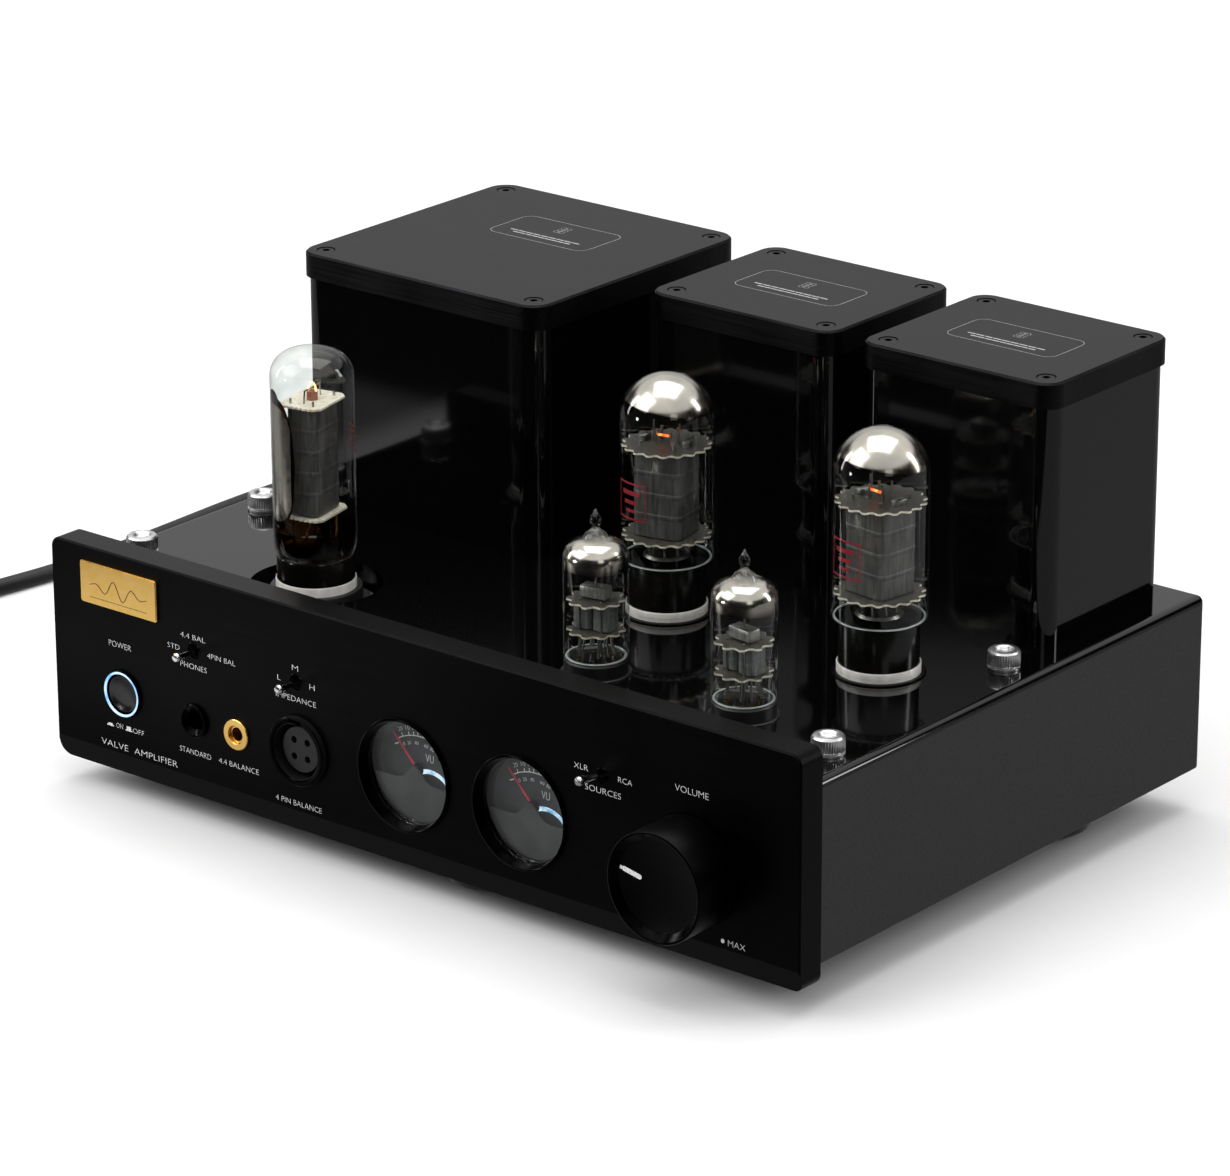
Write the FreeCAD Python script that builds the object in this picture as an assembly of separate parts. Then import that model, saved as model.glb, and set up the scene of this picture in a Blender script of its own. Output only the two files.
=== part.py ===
"""Valve headphone amplifier: one STEP file per named piece, in millimetres, +Z up.

The origin is on the table, under the middle of the amplifier without its mains lead.  The
front panel faces -Y.  The black chassis stands on three feet and carries a thick front panel,
a gloss top deck, three transformer covers, a rectifier valve, two power valves and two small
driver valves.  The lead runs from the rear inlet round to a coil on the left.
"""
import FreeCAD
import Part

import math
import os

V = FreeCAD.Vector

# ---------------------------------------------------------------- driving dimensions
PANEL_W, PANEL_T = 325.0, 11.0
PANEL_Z = (9.0, 90.0)                    # bottom and top edge of the front panel
PANEL_CORNER = 4.0
FACE_Y = -112.5                          # front face of the panel
BACK_Y = 114.5                           # outside of the rear panel
CHASSIS_W = 322.0
CHASSIS_Z = (15.0, 78.0)                 # underside of the chassis, top of the deck
SHEET = 3.0                              # deck, side and rear sheet
WALL_Y = FACE_Y + PANEL_T                # back of the front panel
DECK = CHASSIS_Z[1]

COVER_TOP, CAP_TOP = 161.0, 170.0
CAP_OVERHANG = 1.0
COVER_WALL = 1.5
CAP_SCREW_INSET = 7.4
# name: (x low, x high, y low, y high, corner radius) of each cap
COVERS = {
    "power": (-144.5, -34.5, -4.5, 107.5, 8.0),
    "output_left": (-19.0, 60.0, 35.5, 106.0, 7.0),
    "output_right": (71.2, 150.2, 35.5, 106.0, 7.0),
}

RECTIFIER = (-82.0, -65.8)
POWER_VALVES = {"left": (28.2, -12.0), "right": (117.8, -12.8)}
DRIVERS = {"left": (46.3, -71.2), "right": (107.6, -71.2)}
WELL_R = 23.0                            # round well in the deck for the rectifier
WELL_FLOOR = 69.0
OCTAL_R, NOVAL_R = 14.0, 10.6            # socket collars
SOCKET_TOP = {"rectifier": 2.5, "power": 3.8, "driver": 5.3}    # above the deck
BASE_TOP = {"rectifier": 11.0, "power": 19.2}                   # of the moulded base, likewise
SEAT = 2.0                               # depth of an octal base in its collar
BASE_R = 13.4                            # valve base
THUMB_NUTS = [(-149.5, -81.0), (149.0, -81.0), (-147.5, -21.5), (147.8, 15.5)]
NUT_R, NUT_H = 5.5, 6.5

FEET = {"front": (14.5, -81.3), "rear_left": (-126.0, 66.0), "rear_right": (126.0, 66.0)}
FOOT_R = 20.0

# controls on the front panel, (x, z)
POWER = (-130.0, 39.5)
HEADPHONE = (-96.3, 38.0)
BALANCED = (-76.8, 37.8)
XLR = (-48.5, 39.1)
METERS = {"left": (-1.8, 41.9), "right": (48.1, 41.6)}
TOGGLES = {"phones": (-95.9, 63.4), "impedance": (-49.2, 63.3), "source": (83.0, 63.3)}
VOLUME = (119.3, 40.6)
KNOB_R, KNOB_FRONT, KNOB_DISH = 18.9, -132.0, 2.3
SHAFT_R, RUNNING = 3.0, 0.05             # potentiometer shaft and its radial clearance
METER_R, METER_LIP, METER_BORE = 20.0, 1.1, 17.9
NEEDLE_LEN, NEEDLE_REST = 15.4, -43.0    # length and angle from upright, degrees
NEEDLE_Y, DIAL_Y = -105.9, -104.2        # front faces of the pointer and the dial
PIVOT_Y = -108.5                         # lever pivots
LEVER_TIP, SOURCE_TILT = -122.0, -15.0
JACK_R, MINI_R = 3.25, 2.25              # bores of the two headphone jacks

# rear sockets, (x, z)
INLET = (-118.0, 43.0)
XLR_INPUTS = [(88.0, 44.0), (122.0, 44.0)]
RCA_INPUTS = [(30.0, 44.0), (52.0, 44.0)]
GROUND = (6.0, 44.0)
GROUND_TIP = 132.0

# mains lead
CORD_R = 3.0
CORD_EXIT = (-118.0, 172.0, 43.0)
LEAD = [
    (-118.0, 170.0, 43.0), (-118.4, 196.0, 41.5), (-121.5, 221.0, 32.5), (-131.0, 243.0, 18.5),
    (-149.5, 260.5, 7.5), (-175.5, 270.0, 3.4), (-206.0, 271.5, 3.2), (-236.0, 264.0, 3.2),
    (-263.0, 248.5, 3.2), (-284.5, 226.0, 3.2), (-298.5, 197.5, 3.2), (-305.0, 166.0, 3.2),
    (-306.6, 132.0, 3.2), (-305.4, 98.0, 3.2), (-304.6, 64.0, 3.2), (-307.0, 31.0, 3.2),
    (-312.0, 1.0, 3.2), (-315.6, -26.0, 3.2), (-316.0, -48.0, 3.2),
]
COIL_CENTRE, COIL_R, COIL_H = (-352.0, -48.0), (27.0, 39.0), 18.0
TAIL = [
    (-352.0, -81.0, 14.8), (-374.0, -83.0, 13.4), (-393.5, -79.5, 7.6), (-409.5, -69.0, 3.9),
    (-418.5, -51.0, 4.9), (-421.0, -31.5, 9.5),
]
PLUG = (-421.0, -12.0, 11.0)             # middle of the plug's cord end


# ---------------------------------------------------------------- small helpers
def box(x0, x1, y0, y1, z0, z1):
    return Part.makeBox(x1 - x0, y1 - y0, z1 - z0, V(x0, y0, z0))


def cyl_y(x, z, radius, y0, y1):
    return Part.makeCylinder(radius, y1 - y0, V(x, y0, z), V(0, 1, 0))


def cyl_z(x, y, radius, z0, z1):
    return Part.makeCylinder(radius, z1 - z0, V(x, y, z0))


def fuse(shapes):
    """One solid out of pieces that touch or overlap."""
    whole = shapes[0].multiFuse(shapes[1:]) if len(shapes) > 1 else shapes[0]
    whole = whole.removeSplitter()
    return whole.Solids[0] if len(whole.Solids) == 1 else whole


def edges_along(shape, axis, test):
    """Straight edges parallel to axis (0, 1 or 2) whose midpoint passes the test."""
    picked = []
    for edge in shape.Edges:
        if len(edge.Vertexes) != 2 or not isinstance(edge.Curve, (Part.Line, Part.LineSegment)):
            continue
        run = edge.Vertexes[1].Point - edge.Vertexes[0].Point
        if abs(abs(run[axis]) - run.Length) < 1e-6 and test(edge.CenterOfMass):
            picked.append(edge)
    return picked


def upright_block(x0, x1, y0, y1, z0, z1, radius):
    """A box with its four vertical edges rounded."""
    block = box(x0, x1, y0, y1, z0, z1)
    return block.makeFillet(radius, edges_along(block, 2, lambda c: True))


def turned(points, base, axis):
    """A solid of revolution: points are (radius, distance along axis from base)."""
    side = V(1, 0, 0) if abs(axis.x) < 0.5 else V(0, 0, 1)
    corners = [base + side * r + axis * h for r, h in points]
    face = Part.Face(Part.makePolygon(corners + [corners[0]]))
    solid = face.revolve(base, axis, 360)
    return Part.Solid(solid.Shells[0]) if not solid.Solids else solid.Solids[0]


def rounded_path(points):
    """Straight runs joined by tangent arcs of 0.45 of the shorter run, and the arc radii."""
    pts = [V(*p) for p in points]
    edges, radii, start = [], [], pts[0]
    for before, here, after in zip(pts, pts[1:], pts[2:]):
        u, v = (here - before), (after - here)
        reach = 0.45 * min(u.Length, v.Length)
        u.normalize()
        v.normalize()
        half = u.getAngle(v) / 2.0
        radius = reach / math.tan(half)
        bisector = v - u
        bisector.normalize()
        middle = here + bisector * (radius / math.cos(half) - radius)
        first, last = here - u * reach, here + v * reach
        edges.append(Part.LineSegment(start, first).toShape())
        edges.append(Part.Arc(first, middle, last).toShape())
        radii.append(radius)
        start = last
    edges.append(Part.LineSegment(start, pts[-1]).toShape())
    return Part.Wire(edges), radii


def tube(points, radius):
    path, radii = rounded_path(points)
    first = V(*points[1]) - V(*points[0])
    section = Part.Wire(Part.makeCircle(radius, V(*points[0]), first))
    solid = path.makePipeShell([section], True, False)
    solid = Part.Solid(solid.Shells[0]) if not solid.Solids else solid.Solids[0]
    ideal = math.pi * radius ** 2 * path.Length
    print("lead %.0f mm, volume/ideal %.4f, radii %s" % (
        path.Length, solid.Volume / ideal, " ".join("%.0f" % r for r in radii)))
    return solid


# ---------------------------------------------------------------- chassis
def front_panel():
    half = PANEL_W / 2.0
    z0, z1 = PANEL_Z
    panel = box(-half, half, FACE_Y, WALL_Y, z0, z1)
    panel = panel.makeFillet(PANEL_CORNER, edges_along(panel, 1, lambda c: True))
    bevel_h, bevel_d = 8.0, 2.5
    wedge = Part.Face(Part.makePolygon([
        V(-half - 1, FACE_Y - 1, z0 + bevel_h), V(-half - 1, FACE_Y, z0 + bevel_h),
        V(-half - 1, FACE_Y + bevel_d, z0), V(-half - 1, FACE_Y + bevel_d, z0 - 1),
        V(-half - 1, FACE_Y - 1, z0 - 1), V(-half - 1, FACE_Y - 1, z0 + bevel_h)]))
    panel = panel.cut(wedge.extrude(V(PANEL_W + 2, 0, 0)))
    rim = [e for e in panel.Edges if abs(e.BoundBox.YMin - FACE_Y) < 1e-4
           and abs(e.BoundBox.YMax - FACE_Y) < 1e-4 and e.CenterOfMass.z > z0 + bevel_h + 1]
    panel = panel.makeChamfer(0.6, rim)
    holes = [(POWER, 8.8), (HEADPHONE, 5.7), (BALANCED, 4.9), (XLR, 11.2), (VOLUME, 4.2)]
    holes += [(place, 19.3) for place in METERS.values()]
    holes += [(place, 3.0) for place in TOGGLES.values()]
    for (x, z), radius in holes:
        panel = panel.cut(cyl_y(x, z, radius, FACE_Y - 1, WALL_Y + 1))
    return panel


def top_deck():
    half, y0 = CHASSIS_W / 2.0, WALL_Y
    deck = box(-half, half, y0, BACK_Y, DECK - SHEET, DECK)
    outer = edges_along(deck, 1, lambda c: c.z > DECK - 1)
    outer += edges_along(deck, 0, lambda c: c.z > DECK - 1 and c.y > 0)
    outer += edges_along(deck, 2, lambda c: c.y > 0)
    deck = deck.makeFillet(2.6, outer)
    x, y = RECTIFIER
    well = cyl_z(x, y, WELL_R + 1.5, WELL_FLOOR - 1.5, DECK - SHEET)
    deck = fuse([deck, well]).cut(cyl_z(x, y, WELL_R, WELL_FLOOR, DECK + 1))
    deck = deck.cut(cyl_z(x, y, OCTAL_R + 0.2, WELL_FLOOR - 3, DECK))
    for x, y in POWER_VALVES.values():
        deck = deck.cut(cyl_z(x, y, OCTAL_R + 0.2, DECK - 9, DECK + 1))
    for x, y in DRIVERS.values():
        deck = deck.cut(cyl_z(x, y, NOVAL_R + 0.2, DECK - 9, DECK + 1))
    return deck


def side(sign):
    outer, inner = sign * CHASSIS_W / 2.0, sign * (CHASSIS_W / 2.0 - SHEET)
    z0, z1 = CHASSIS_Z[0], DECK - SHEET
    plate = box(min(outer, inner), max(outer, inner), WALL_Y, BACK_Y, z0, z1)
    corner = edges_along(plate, 2, lambda c: c.y > 0 and abs(c.x - outer) < 0.01)
    plate = plate.makeFillet(2.6, corner)
    foot_edge = edges_along(plate, 1, lambda c: c.z < z0 + 0.01 and abs(c.x - outer) < 0.01)
    return plate.makeFillet(1.0, foot_edge)


def rear_panel():
    half = CHASSIS_W / 2.0 - SHEET
    plate = box(-half, half, BACK_Y - SHEET, BACK_Y, CHASSIS_Z[0], DECK - SHEET)
    x, z = INLET
    plate = plate.cut(box(x - 14.2, x + 14.2, BACK_Y - 9, BACK_Y + 1, z - 10.8, z + 10.8))
    holes = [(place, 11.9) for place in XLR_INPUTS]
    holes += [(place, 4.3) for place in RCA_INPUTS]
    holes.append((GROUND, 2.1))
    for (x, z), radius in holes:
        plate = plate.cut(cyl_y(x, z, radius, BACK_Y - 9, BACK_Y + 1))
    return plate


def bottom_cover():
    half = CHASSIS_W / 2.0 - SHEET - 0.2
    z0 = CHASSIS_Z[0]
    plate = box(-half, half, WALL_Y + 0.2, BACK_Y - SHEET - 0.2, z0, z0 + 1.5)
    for row_x in (-70.0, 70.0):
        for step in range(7):
            x = row_x + (step - 3) * 10.0
            slot = upright_block(x - 2, x + 2, -25, 25, z0 - 1, z0 + 3, 1.95)
            plate = plate.cut(slot)
    return plate


def foot(x, y):
    """A turned foot: rubber tread, knurled skirt and a neck that meets the chassis."""
    top = CHASSIS_Z[0]
    profile = [(0, 0), (15.5, 0), (16.5, 1.0), (16.5, 2.0), (19.4, 2.0), (FOOT_R, 2.8),
               (FOOT_R, 9.0), (18.6, 11.5), (13.0, 12.5), (13.0, top), (0, top)]
    return turned(profile, V(x, y, 0), V(0, 0, 1))


def name_badge():
    x0, x1, z0, z1 = -147.8, -112.1, 69.8, 84.8
    plate = box(x0, x1, FACE_Y - 1.0, FACE_Y, z0, z1)
    return plate.makeFillet(1.0, edges_along(plate, 1, lambda c: True))


def thumb_nuts():
    nuts = []
    for x, y in THUMB_NUTS:
        profile = [(0, 0), (NUT_R, 0), (NUT_R, NUT_H - 0.5), (NUT_R - 0.5, NUT_H),
                   (3.4, NUT_H), (2.4, NUT_H - 1.2), (0, NUT_H - 1.2)]
        nuts.append(turned(profile, V(x, y, DECK), V(0, 0, 1)))
    return Part.makeCompound(nuts)


# ---------------------------------------------------------------- transformers
def cover(name):
    x0, x1, y0, y1, corner = COVERS[name]
    g = CAP_OVERHANG
    outer = upright_block(x0 + g, x1 - g, y0 + g, y1 - g, DECK, COVER_TOP, corner)
    g += COVER_WALL
    inner = upright_block(x0 + g, x1 - g, y0 + g, y1 - g, DECK - 1, COVER_TOP + 1,
                          corner - COVER_WALL)
    return outer.cut(inner)


def screw_places(name):
    x0, x1, y0, y1, _ = COVERS[name]
    i = CAP_SCREW_INSET
    return [(x, y) for x in (x0 + i, x1 - i) for y in (y0 + i, y1 - i)]


def cap(name):
    x0, x1, y0, y1, corner = COVERS[name]
    block = upright_block(x0, x1, y0, y1, COVER_TOP, CAP_TOP, corner)
    rim = [e for e in block.Edges if e.BoundBox.ZMin > CAP_TOP - 0.01]
    block = block.makeChamfer(0.7, rim)
    for x, y in screw_places(name):
        block = block.cut(cyl_z(x, y, 3.3, CAP_TOP - 2.2, CAP_TOP + 1))
        block = block.cut(cyl_z(x, y, 1.7, COVER_TOP - 1, CAP_TOP))
    return block


def cap_screws():
    screws = []
    for name in COVERS:
        for x, y in screw_places(name):
            head = cyl_z(x, y, 2.9, CAP_TOP - 2.2, CAP_TOP - 0.2)
            corners = [V(x + 1.45 * math.cos(k * math.pi / 3), y + 1.45 * math.sin(k * math.pi / 3),
                         CAP_TOP - 1.6) for k in range(6)]
            socket = Part.Face(Part.makePolygon(corners + [corners[0]])).extrude(V(0, 0, 3))
            screws.append(fuse([head, cyl_z(x, y, 1.5, COVER_TOP - 4, CAP_TOP - 2.2)]).cut(socket))
    return Part.makeCompound(screws)


CORE_SIZES = {"power": (86.0, 46.0, 72.0), "output_left": (60.0, 30.0, 50.0),
              "output_right": (60.0, 30.0, 50.0)}


def core_parts(name):
    """The laminated core with its two windows, and the winding on the middle leg."""
    width, stack, height = CORE_SIZES[name]
    x0, x1, y0, y1, _ = COVERS[name]
    x, y, z0 = (x0 + x1) / 2.0, (y0 + y1) / 2.0, DECK + 4.0
    leg, limb = width / 3.0, width / 6.0
    core = box(x - width / 2, x + width / 2, y - stack / 2, y + stack / 2, z0, z0 + height)
    for sign in (-1, 1):
        middle = x + sign * (leg / 2 + limb / 2)
        core = core.cut(box(middle - limb / 2, middle + limb / 2, y - stack, y + stack,
                            z0 + limb, z0 + height - limb))
    reach = leg / 2 + limb - 0.6
    depth = stack / 2 + limb
    winding = upright_block(x - reach, x + reach, y - depth, y + depth,
                            z0 + limb + 0.6, z0 + height - limb - 0.6, 6.0)
    bore = box(x - leg / 2 - 0.3, x + leg / 2 + 0.3, y - stack / 2 - 0.3, y + stack / 2 + 0.3,
               z0, z0 + height)
    return core, winding.cut(bore)


# ---------------------------------------------------------------- valves
PIN_CIRCLE_8, PIN_R, SPIGOT_R = 8.73, 1.15, 3.95
GLASS_FLOOR = 1.6                        # thickness of a bulb at its foot
# sealed nipple of a miniature bulb: (radius, height above its dome)
NIPPLE = ((3.9, 0.9), (3.4, 1.9), (2.2, 2.7), (1.3, 3.5), (1.4, 4.4), (1.95, 6.0), (1.7, 7.4),
          (0.8, 8.8), (0.45, 9.6), (0, 10.1))
ANODE_CORNER = 3.0


def octal_socket(x, y, top):
    """Ceramic octal socket with eight pin holes, a key hole and a raised collar."""
    floor = top - 19.0
    body = cyl_z(x, y, OCTAL_R, floor, top)
    body = body.cut(cyl_z(x, y, BASE_R + 0.15, top - SEAT, top + 1))
    body = body.cut(cyl_z(x, y, SPIGOT_R + 0.25, floor + 3, top))
    for k in range(8):
        angle = math.radians(22.5 + 45 * k)
        px, py = x + PIN_CIRCLE_8 * math.cos(angle), y + PIN_CIRCLE_8 * math.sin(angle)
        body = body.cut(cyl_z(px, py, PIN_R + 0.2, floor + 3, top))
    return body


def octal_base(x, y, z0, z1):
    """Moulded valve base with its pins and key spigot."""
    profile = [(0, 0), (BASE_R - 0.4, 0), (BASE_R, 0.4), (BASE_R, z1 - z0 - 1.2),
               (BASE_R - 0.6, z1 - z0), (0, z1 - z0)]
    parts = [turned(profile, V(x, y, z0), V(0, 0, 1)), cyl_z(x, y, SPIGOT_R, z0 - 11, z0 + 1)]
    for k in range(8):
        angle = math.radians(22.5 + 45 * k)
        px, py = x + PIN_CIRCLE_8 * math.cos(angle), y + PIN_CIRCLE_8 * math.sin(angle)
        parts.append(cyl_z(px, py, PIN_R, z0 - 10, z0 + 1))
    return fuse(parts)


def dome(radius, shoulder, top, crown, steps=7):
    """Profile points of a bulb's top: round shoulder, then a crown of the given radius at z top."""
    points = []
    for k in range(steps + 1):
        angle = math.radians(90.0 * k / steps)
        points.append((crown + (radius - crown) * math.cos(angle),
                       shoulder + (top - shoulder) * math.sin(angle)))
    return points


def envelope(x, y, z0, z1, radius, neck, rise, shoulder_h, crown=0.0, tip=()):
    """A closed glass bulb with a 1 mm wall, narrowed to neck where it enters its base.

    z1 is the top of its dome; tip holds the (radius, height above z1) points of a sealed nipple.
    """
    wall = 1.0

    def profile(offset):
        r, low, high = radius - offset, z0 + GLASS_FLOOR * offset, z1 - offset
        points = [(0, low), (neck - offset, low), (r, low + rise)]
        points += dome(r, z1 - shoulder_h, high, crown)
        if tip and not offset:
            return points + [(reach, high + lift) for reach, lift in tip]
        return points + [(0, high)]

    outer = turned([p for p in profile(0.0)], V(x, y, 0), V(0, 0, 1))
    return outer.cut(turned(profile(wall), V(x, y, 0), V(0, 0, 1)))


def electrodes(x, y, glass_z, z1, width, depth, mica_r):
    """Anode box between two mica plates, on four support rods that rise from the stem.

    glass_z is the underside of the glass that holds the set; its stem stands on the glass floor.
    """
    z0 = glass_z + GLASS_FLOOR + 1.0
    anode = upright_block(x - width / 2, x + width / 2, y - depth / 2, y + depth / 2,
                          z0 + 8, z1 - 3, ANODE_CORNER)
    parts = [anode, cyl_z(x, y, mica_r, z0 + 6.5, z0 + 8), cyl_z(x, y, mica_r, z1 - 3, z1 - 1.5)]
    for sign in (-1, 1):
        parts.append(cyl_z(x + sign * width / 3, y, 0.8, z0, z0 + 7))
        parts.append(cyl_z(x, y + sign * depth / 4, 0.8, z0, z0 + 7))
    parts.append(cyl_z(x, y, mica_r * 0.55, z0 - 1, z0 + 1.5))
    return fuse(parts)


def noval_socket(x, y, top):
    body = cyl_z(x, y, NOVAL_R, top - 16, top)
    for k in range(9):
        angle = math.radians(36.0 * k - 54.0)
        px, py = x + 5.95 * math.cos(angle), y + 5.95 * math.sin(angle)
        body = body.cut(cyl_z(px, py, 0.8, top - 9, top + 1))
    return body


# ---------------------------------------------------------------- controls
def power_button():
    x, z = POWER
    profile = [(0, 0.7), (5.6, 0.3), (6.5, 0), (6.9, 0.4), (6.9, 9.5), (0, 9.5)]
    head = turned(profile, V(x, FACE_Y - 0.2, z), V(0, 1, 0))
    return fuse([head, cyl_y(x, z, 2.4, FACE_Y + 9, FACE_Y + 19)])


def power_ring():
    x, z = POWER
    ring = cyl_y(x, z, 8.6, FACE_Y - 1.2, FACE_Y + 8)
    ring = ring.cut(cyl_y(x, z, 7.2, FACE_Y - 2, FACE_Y + 9))
    rim = [e for e in ring.Edges if e.BoundBox.YMax < FACE_Y - 1.1]
    return ring.makeChamfer(0.35, rim)


def panel_switches():
    """The power switch body and the three toggle switch bodies behind the panel."""
    x, z = POWER
    body = box(x - 9, x + 9, WALL_Y, WALL_Y + 24, z - 9, z + 9)
    bodies = [body.cut(cyl_y(x, z, 2.8, WALL_Y - 1, WALL_Y + 18))]
    for x, z in TOGGLES.values():
        bush = cyl_y(x, z, 2.9, FACE_Y + 0.3, WALL_Y + 0.5)
        case = box(x - 6.5, x + 6.5, WALL_Y, WALL_Y + 12, z - 6.5, z + 6.5)
        bore = cyl_y(x, z, 2.55, FACE_Y - 1, WALL_Y + 4)
        bodies.append(fuse([bush, case]).cut(bore))
    return Part.makeCompound(bodies)


def lever(name):
    """A bat lever on its ball and upright pin; the source lever rests tilted to the left."""
    x, z = TOGGLES[name]
    reach = PIVOT_Y - LEVER_TIP
    profile = [(0, -2.6), (0.7, -2.6), (0.7, 0), (0.75, 2.5), (1.2, reach - 2.6),
               (1.7, reach - 1.9), (1.7, reach - 0.6), (1.1, reach), (0, reach)]
    base = V(x, PIVOT_Y, z)
    pin = cyl_z(x, PIVOT_Y, 0.6, z - 2.4, z + 2.4)
    bat = fuse([turned(profile, base, V(0, -1, 0)), Part.makeSphere(1.6, base), pin])
    if name == "source":
        bat.rotate(base, V(0, 0, 1), SOURCE_TILT)
    return bat


def headphone_jack():
    x, z = HEADPHONE
    profile = [(JACK_R, 0), (4.6, -1.4), (5.6, -1.4), (6.0, -1.0), (6.0, 0), (5.6, 0),
               (5.6, PANEL_T), (8.0, PANEL_T), (8.0, 32.0), (JACK_R, 32.0)]
    return turned(profile, V(x, FACE_Y, z), V(0, 1, 0))


def balanced_jack():
    x, z = BALANCED
    profile = [(MINI_R, 0.6), (3.3, 0.2), (3.3, -1.0), (5.2, -1.0), (5.5, -0.7), (5.5, 0),
               (4.8, 0), (4.8, PANEL_T), (6.0, PANEL_T), (6.0, 26.0), (MINI_R, 26.0)]
    return turned(profile, V(x, FACE_Y, z), V(0, 1, 0))


def xlr_receptacle(x, z, face, out, contacts, depth):
    """Round female receptacle: a shell, and an insert with contact holes inside an annular gap.

    out is the y direction that the mouth faces; depth is how far the shell goes in.
    """
    axis, mouth = V(0, -out, 0), V(x, face, z)
    shell = turned([(9.9, -1.8), (12.2, -1.8), (12.2, 0), (11.0, 0), (11.0, depth), (0, depth),
                    (0, depth - 3), (9.9, depth - 3)], mouth, axis)
    insert = Part.makeCylinder(8.0, depth - 3.8, mouth + axis * 0.8, axis)
    for k in range(contacts):
        angle = math.radians(90 + 360.0 * (k + 0.5) / contacts)
        contact = V(4.2 * math.cos(angle), 0, 4.2 * math.sin(angle))
        insert = insert.cut(Part.makeCylinder(1.25, 10.0, mouth + contact, axis))
    return [shell, insert]


def meter_bezel(name):
    x, z = METERS[name]
    profile = [(METER_BORE, 24.0), (METER_BORE, 2.2), (19.0, -METER_LIP),
               (METER_R - 0.6, -METER_LIP), (METER_R, 0.6 - METER_LIP), (METER_R, 0), (19.2, 0),
               (19.2, 24.0)]
    return turned(profile, V(x, FACE_Y, z), V(0, 1, 0))


def meter_parts():
    """Both meters' glasses and both dials with the movement behind them."""
    glasses, dials = [], []
    for x, z in METERS.values():
        glasses.append(cyl_y(x, z, METER_BORE - 0.05, FACE_Y + 2.4, FACE_Y + 3.6))
        dial = fuse([cyl_y(x, z, METER_BORE - 0.05, DIAL_Y, DIAL_Y + 1.7),
                     cyl_y(x, z, 14.0, DIAL_Y + 1.6, DIAL_Y + 25.0)])
        dials.append(dial.cut(cyl_y(x, z, 0.55, DIAL_Y - 1, DIAL_Y + 9)))
    return Part.makeCompound(glasses), Part.makeCompound(dials)


def meter_needle(name):
    """Pointer and hub on a pin that runs in the dial."""
    x, z = METERS[name]
    hub = cyl_y(x, z, 2.2, NEEDLE_Y - 0.2, NEEDLE_Y + 0.9)
    pin = cyl_y(x, z, 0.5, NEEDLE_Y + 0.8, DIAL_Y + 8)
    outline = [V(x - 0.55, NEEDLE_Y, z), V(x + 0.55, NEEDLE_Y, z),
               V(x + 0.22, NEEDLE_Y, z + NEEDLE_LEN), V(x - 0.22, NEEDLE_Y, z + NEEDLE_LEN)]
    pointer = Part.Face(Part.makePolygon(outline + [outline[0]])).extrude(V(0, 0.4, 0))
    pointer.rotate(V(x, FACE_Y, z), V(0, 1, 0), NEEDLE_REST)
    return fuse([hub, pin, pointer])


def volume_knob():
    """Dished knob, fused to the shaft that runs in the potentiometer."""
    x, z = VOLUME
    length = FACE_Y - 0.7 - KNOB_FRONT
    profile = [(0, KNOB_DISH), (15.7, KNOB_DISH), (17.9, 0), (18.5, 0), (KNOB_R, 0.4),
               (KNOB_R, length - 0.4), (KNOB_R - 0.4, length), (0, length)]
    body = turned(profile, V(x, KNOB_FRONT, z), V(0, 1, 0))
    return fuse([body, cyl_y(x, z, SHAFT_R, FACE_Y - 2, WALL_Y + 16)])


def potentiometer():
    x, z = VOLUME
    bush = cyl_y(x, z, 4.0, FACE_Y + 1.0, WALL_Y + 0.5)
    case = box(x - 13.5, x + 13.5, WALL_Y, WALL_Y + 26, z - 13.5, z + 13.5)
    return fuse([bush, case]).cut(cyl_y(x, z, SHAFT_R + RUNNING, FACE_Y, WALL_Y + 18))


# ---------------------------------------------------------------- rear and inside
def tapered_opening(half_w, half_h, cut):
    """Corners of the mains connector outline, with its two lower corners cut off."""
    return [(-half_w, half_h), (half_w, half_h), (half_w, -half_h + cut),
            (half_w - cut, -half_h), (-half_w + cut, -half_h), (-half_w, -half_h + cut)]


def prism_y(x, z, outline, y0, y1):
    corners = [V(x + dx, y0, z + dz) for dx, dz in outline]
    return Part.Face(Part.makePolygon(corners + [corners[0]])).extrude(V(0, y1 - y0, 0))


PRONGS = [(-7.0, -1.5), (7.0, -1.5), (0.0, 3.0)]


def iec_inlet():
    x, z = INLET
    body = fuse([box(x - 14, x + 14, BACK_Y - 22, BACK_Y + 0.5, z - 10.6, z + 10.6),
                 upright_flange(x, z, 24.0, 14.0, BACK_Y, BACK_Y + 2.0)])
    body = body.cut(prism_y(x, z, tapered_opening(12.25, 8.25, 5.0), BACK_Y - 16, BACK_Y + 3))
    blades = [box(x + dx - 1, x + dx + 1, BACK_Y - 17, BACK_Y - 3, z + dz - 2, z + dz + 2)
              for dx, dz in PRONGS]
    return fuse([body] + blades)


def upright_flange(x, z, half_w, half_h, y0, y1):
    """A plate on the rear panel with rounded corners and a screw hole at each end."""
    plate = box(x - half_w, x + half_w, y0, y1, z - half_h, z + half_h)
    plate = plate.makeFillet(5.0, edges_along(plate, 1, lambda c: True))
    for sign in (-1, 1):
        plate = plate.cut(cyl_y(x + sign * 20.0, z, 1.7, y0 - 1, y1 + 1))
    return plate


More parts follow.
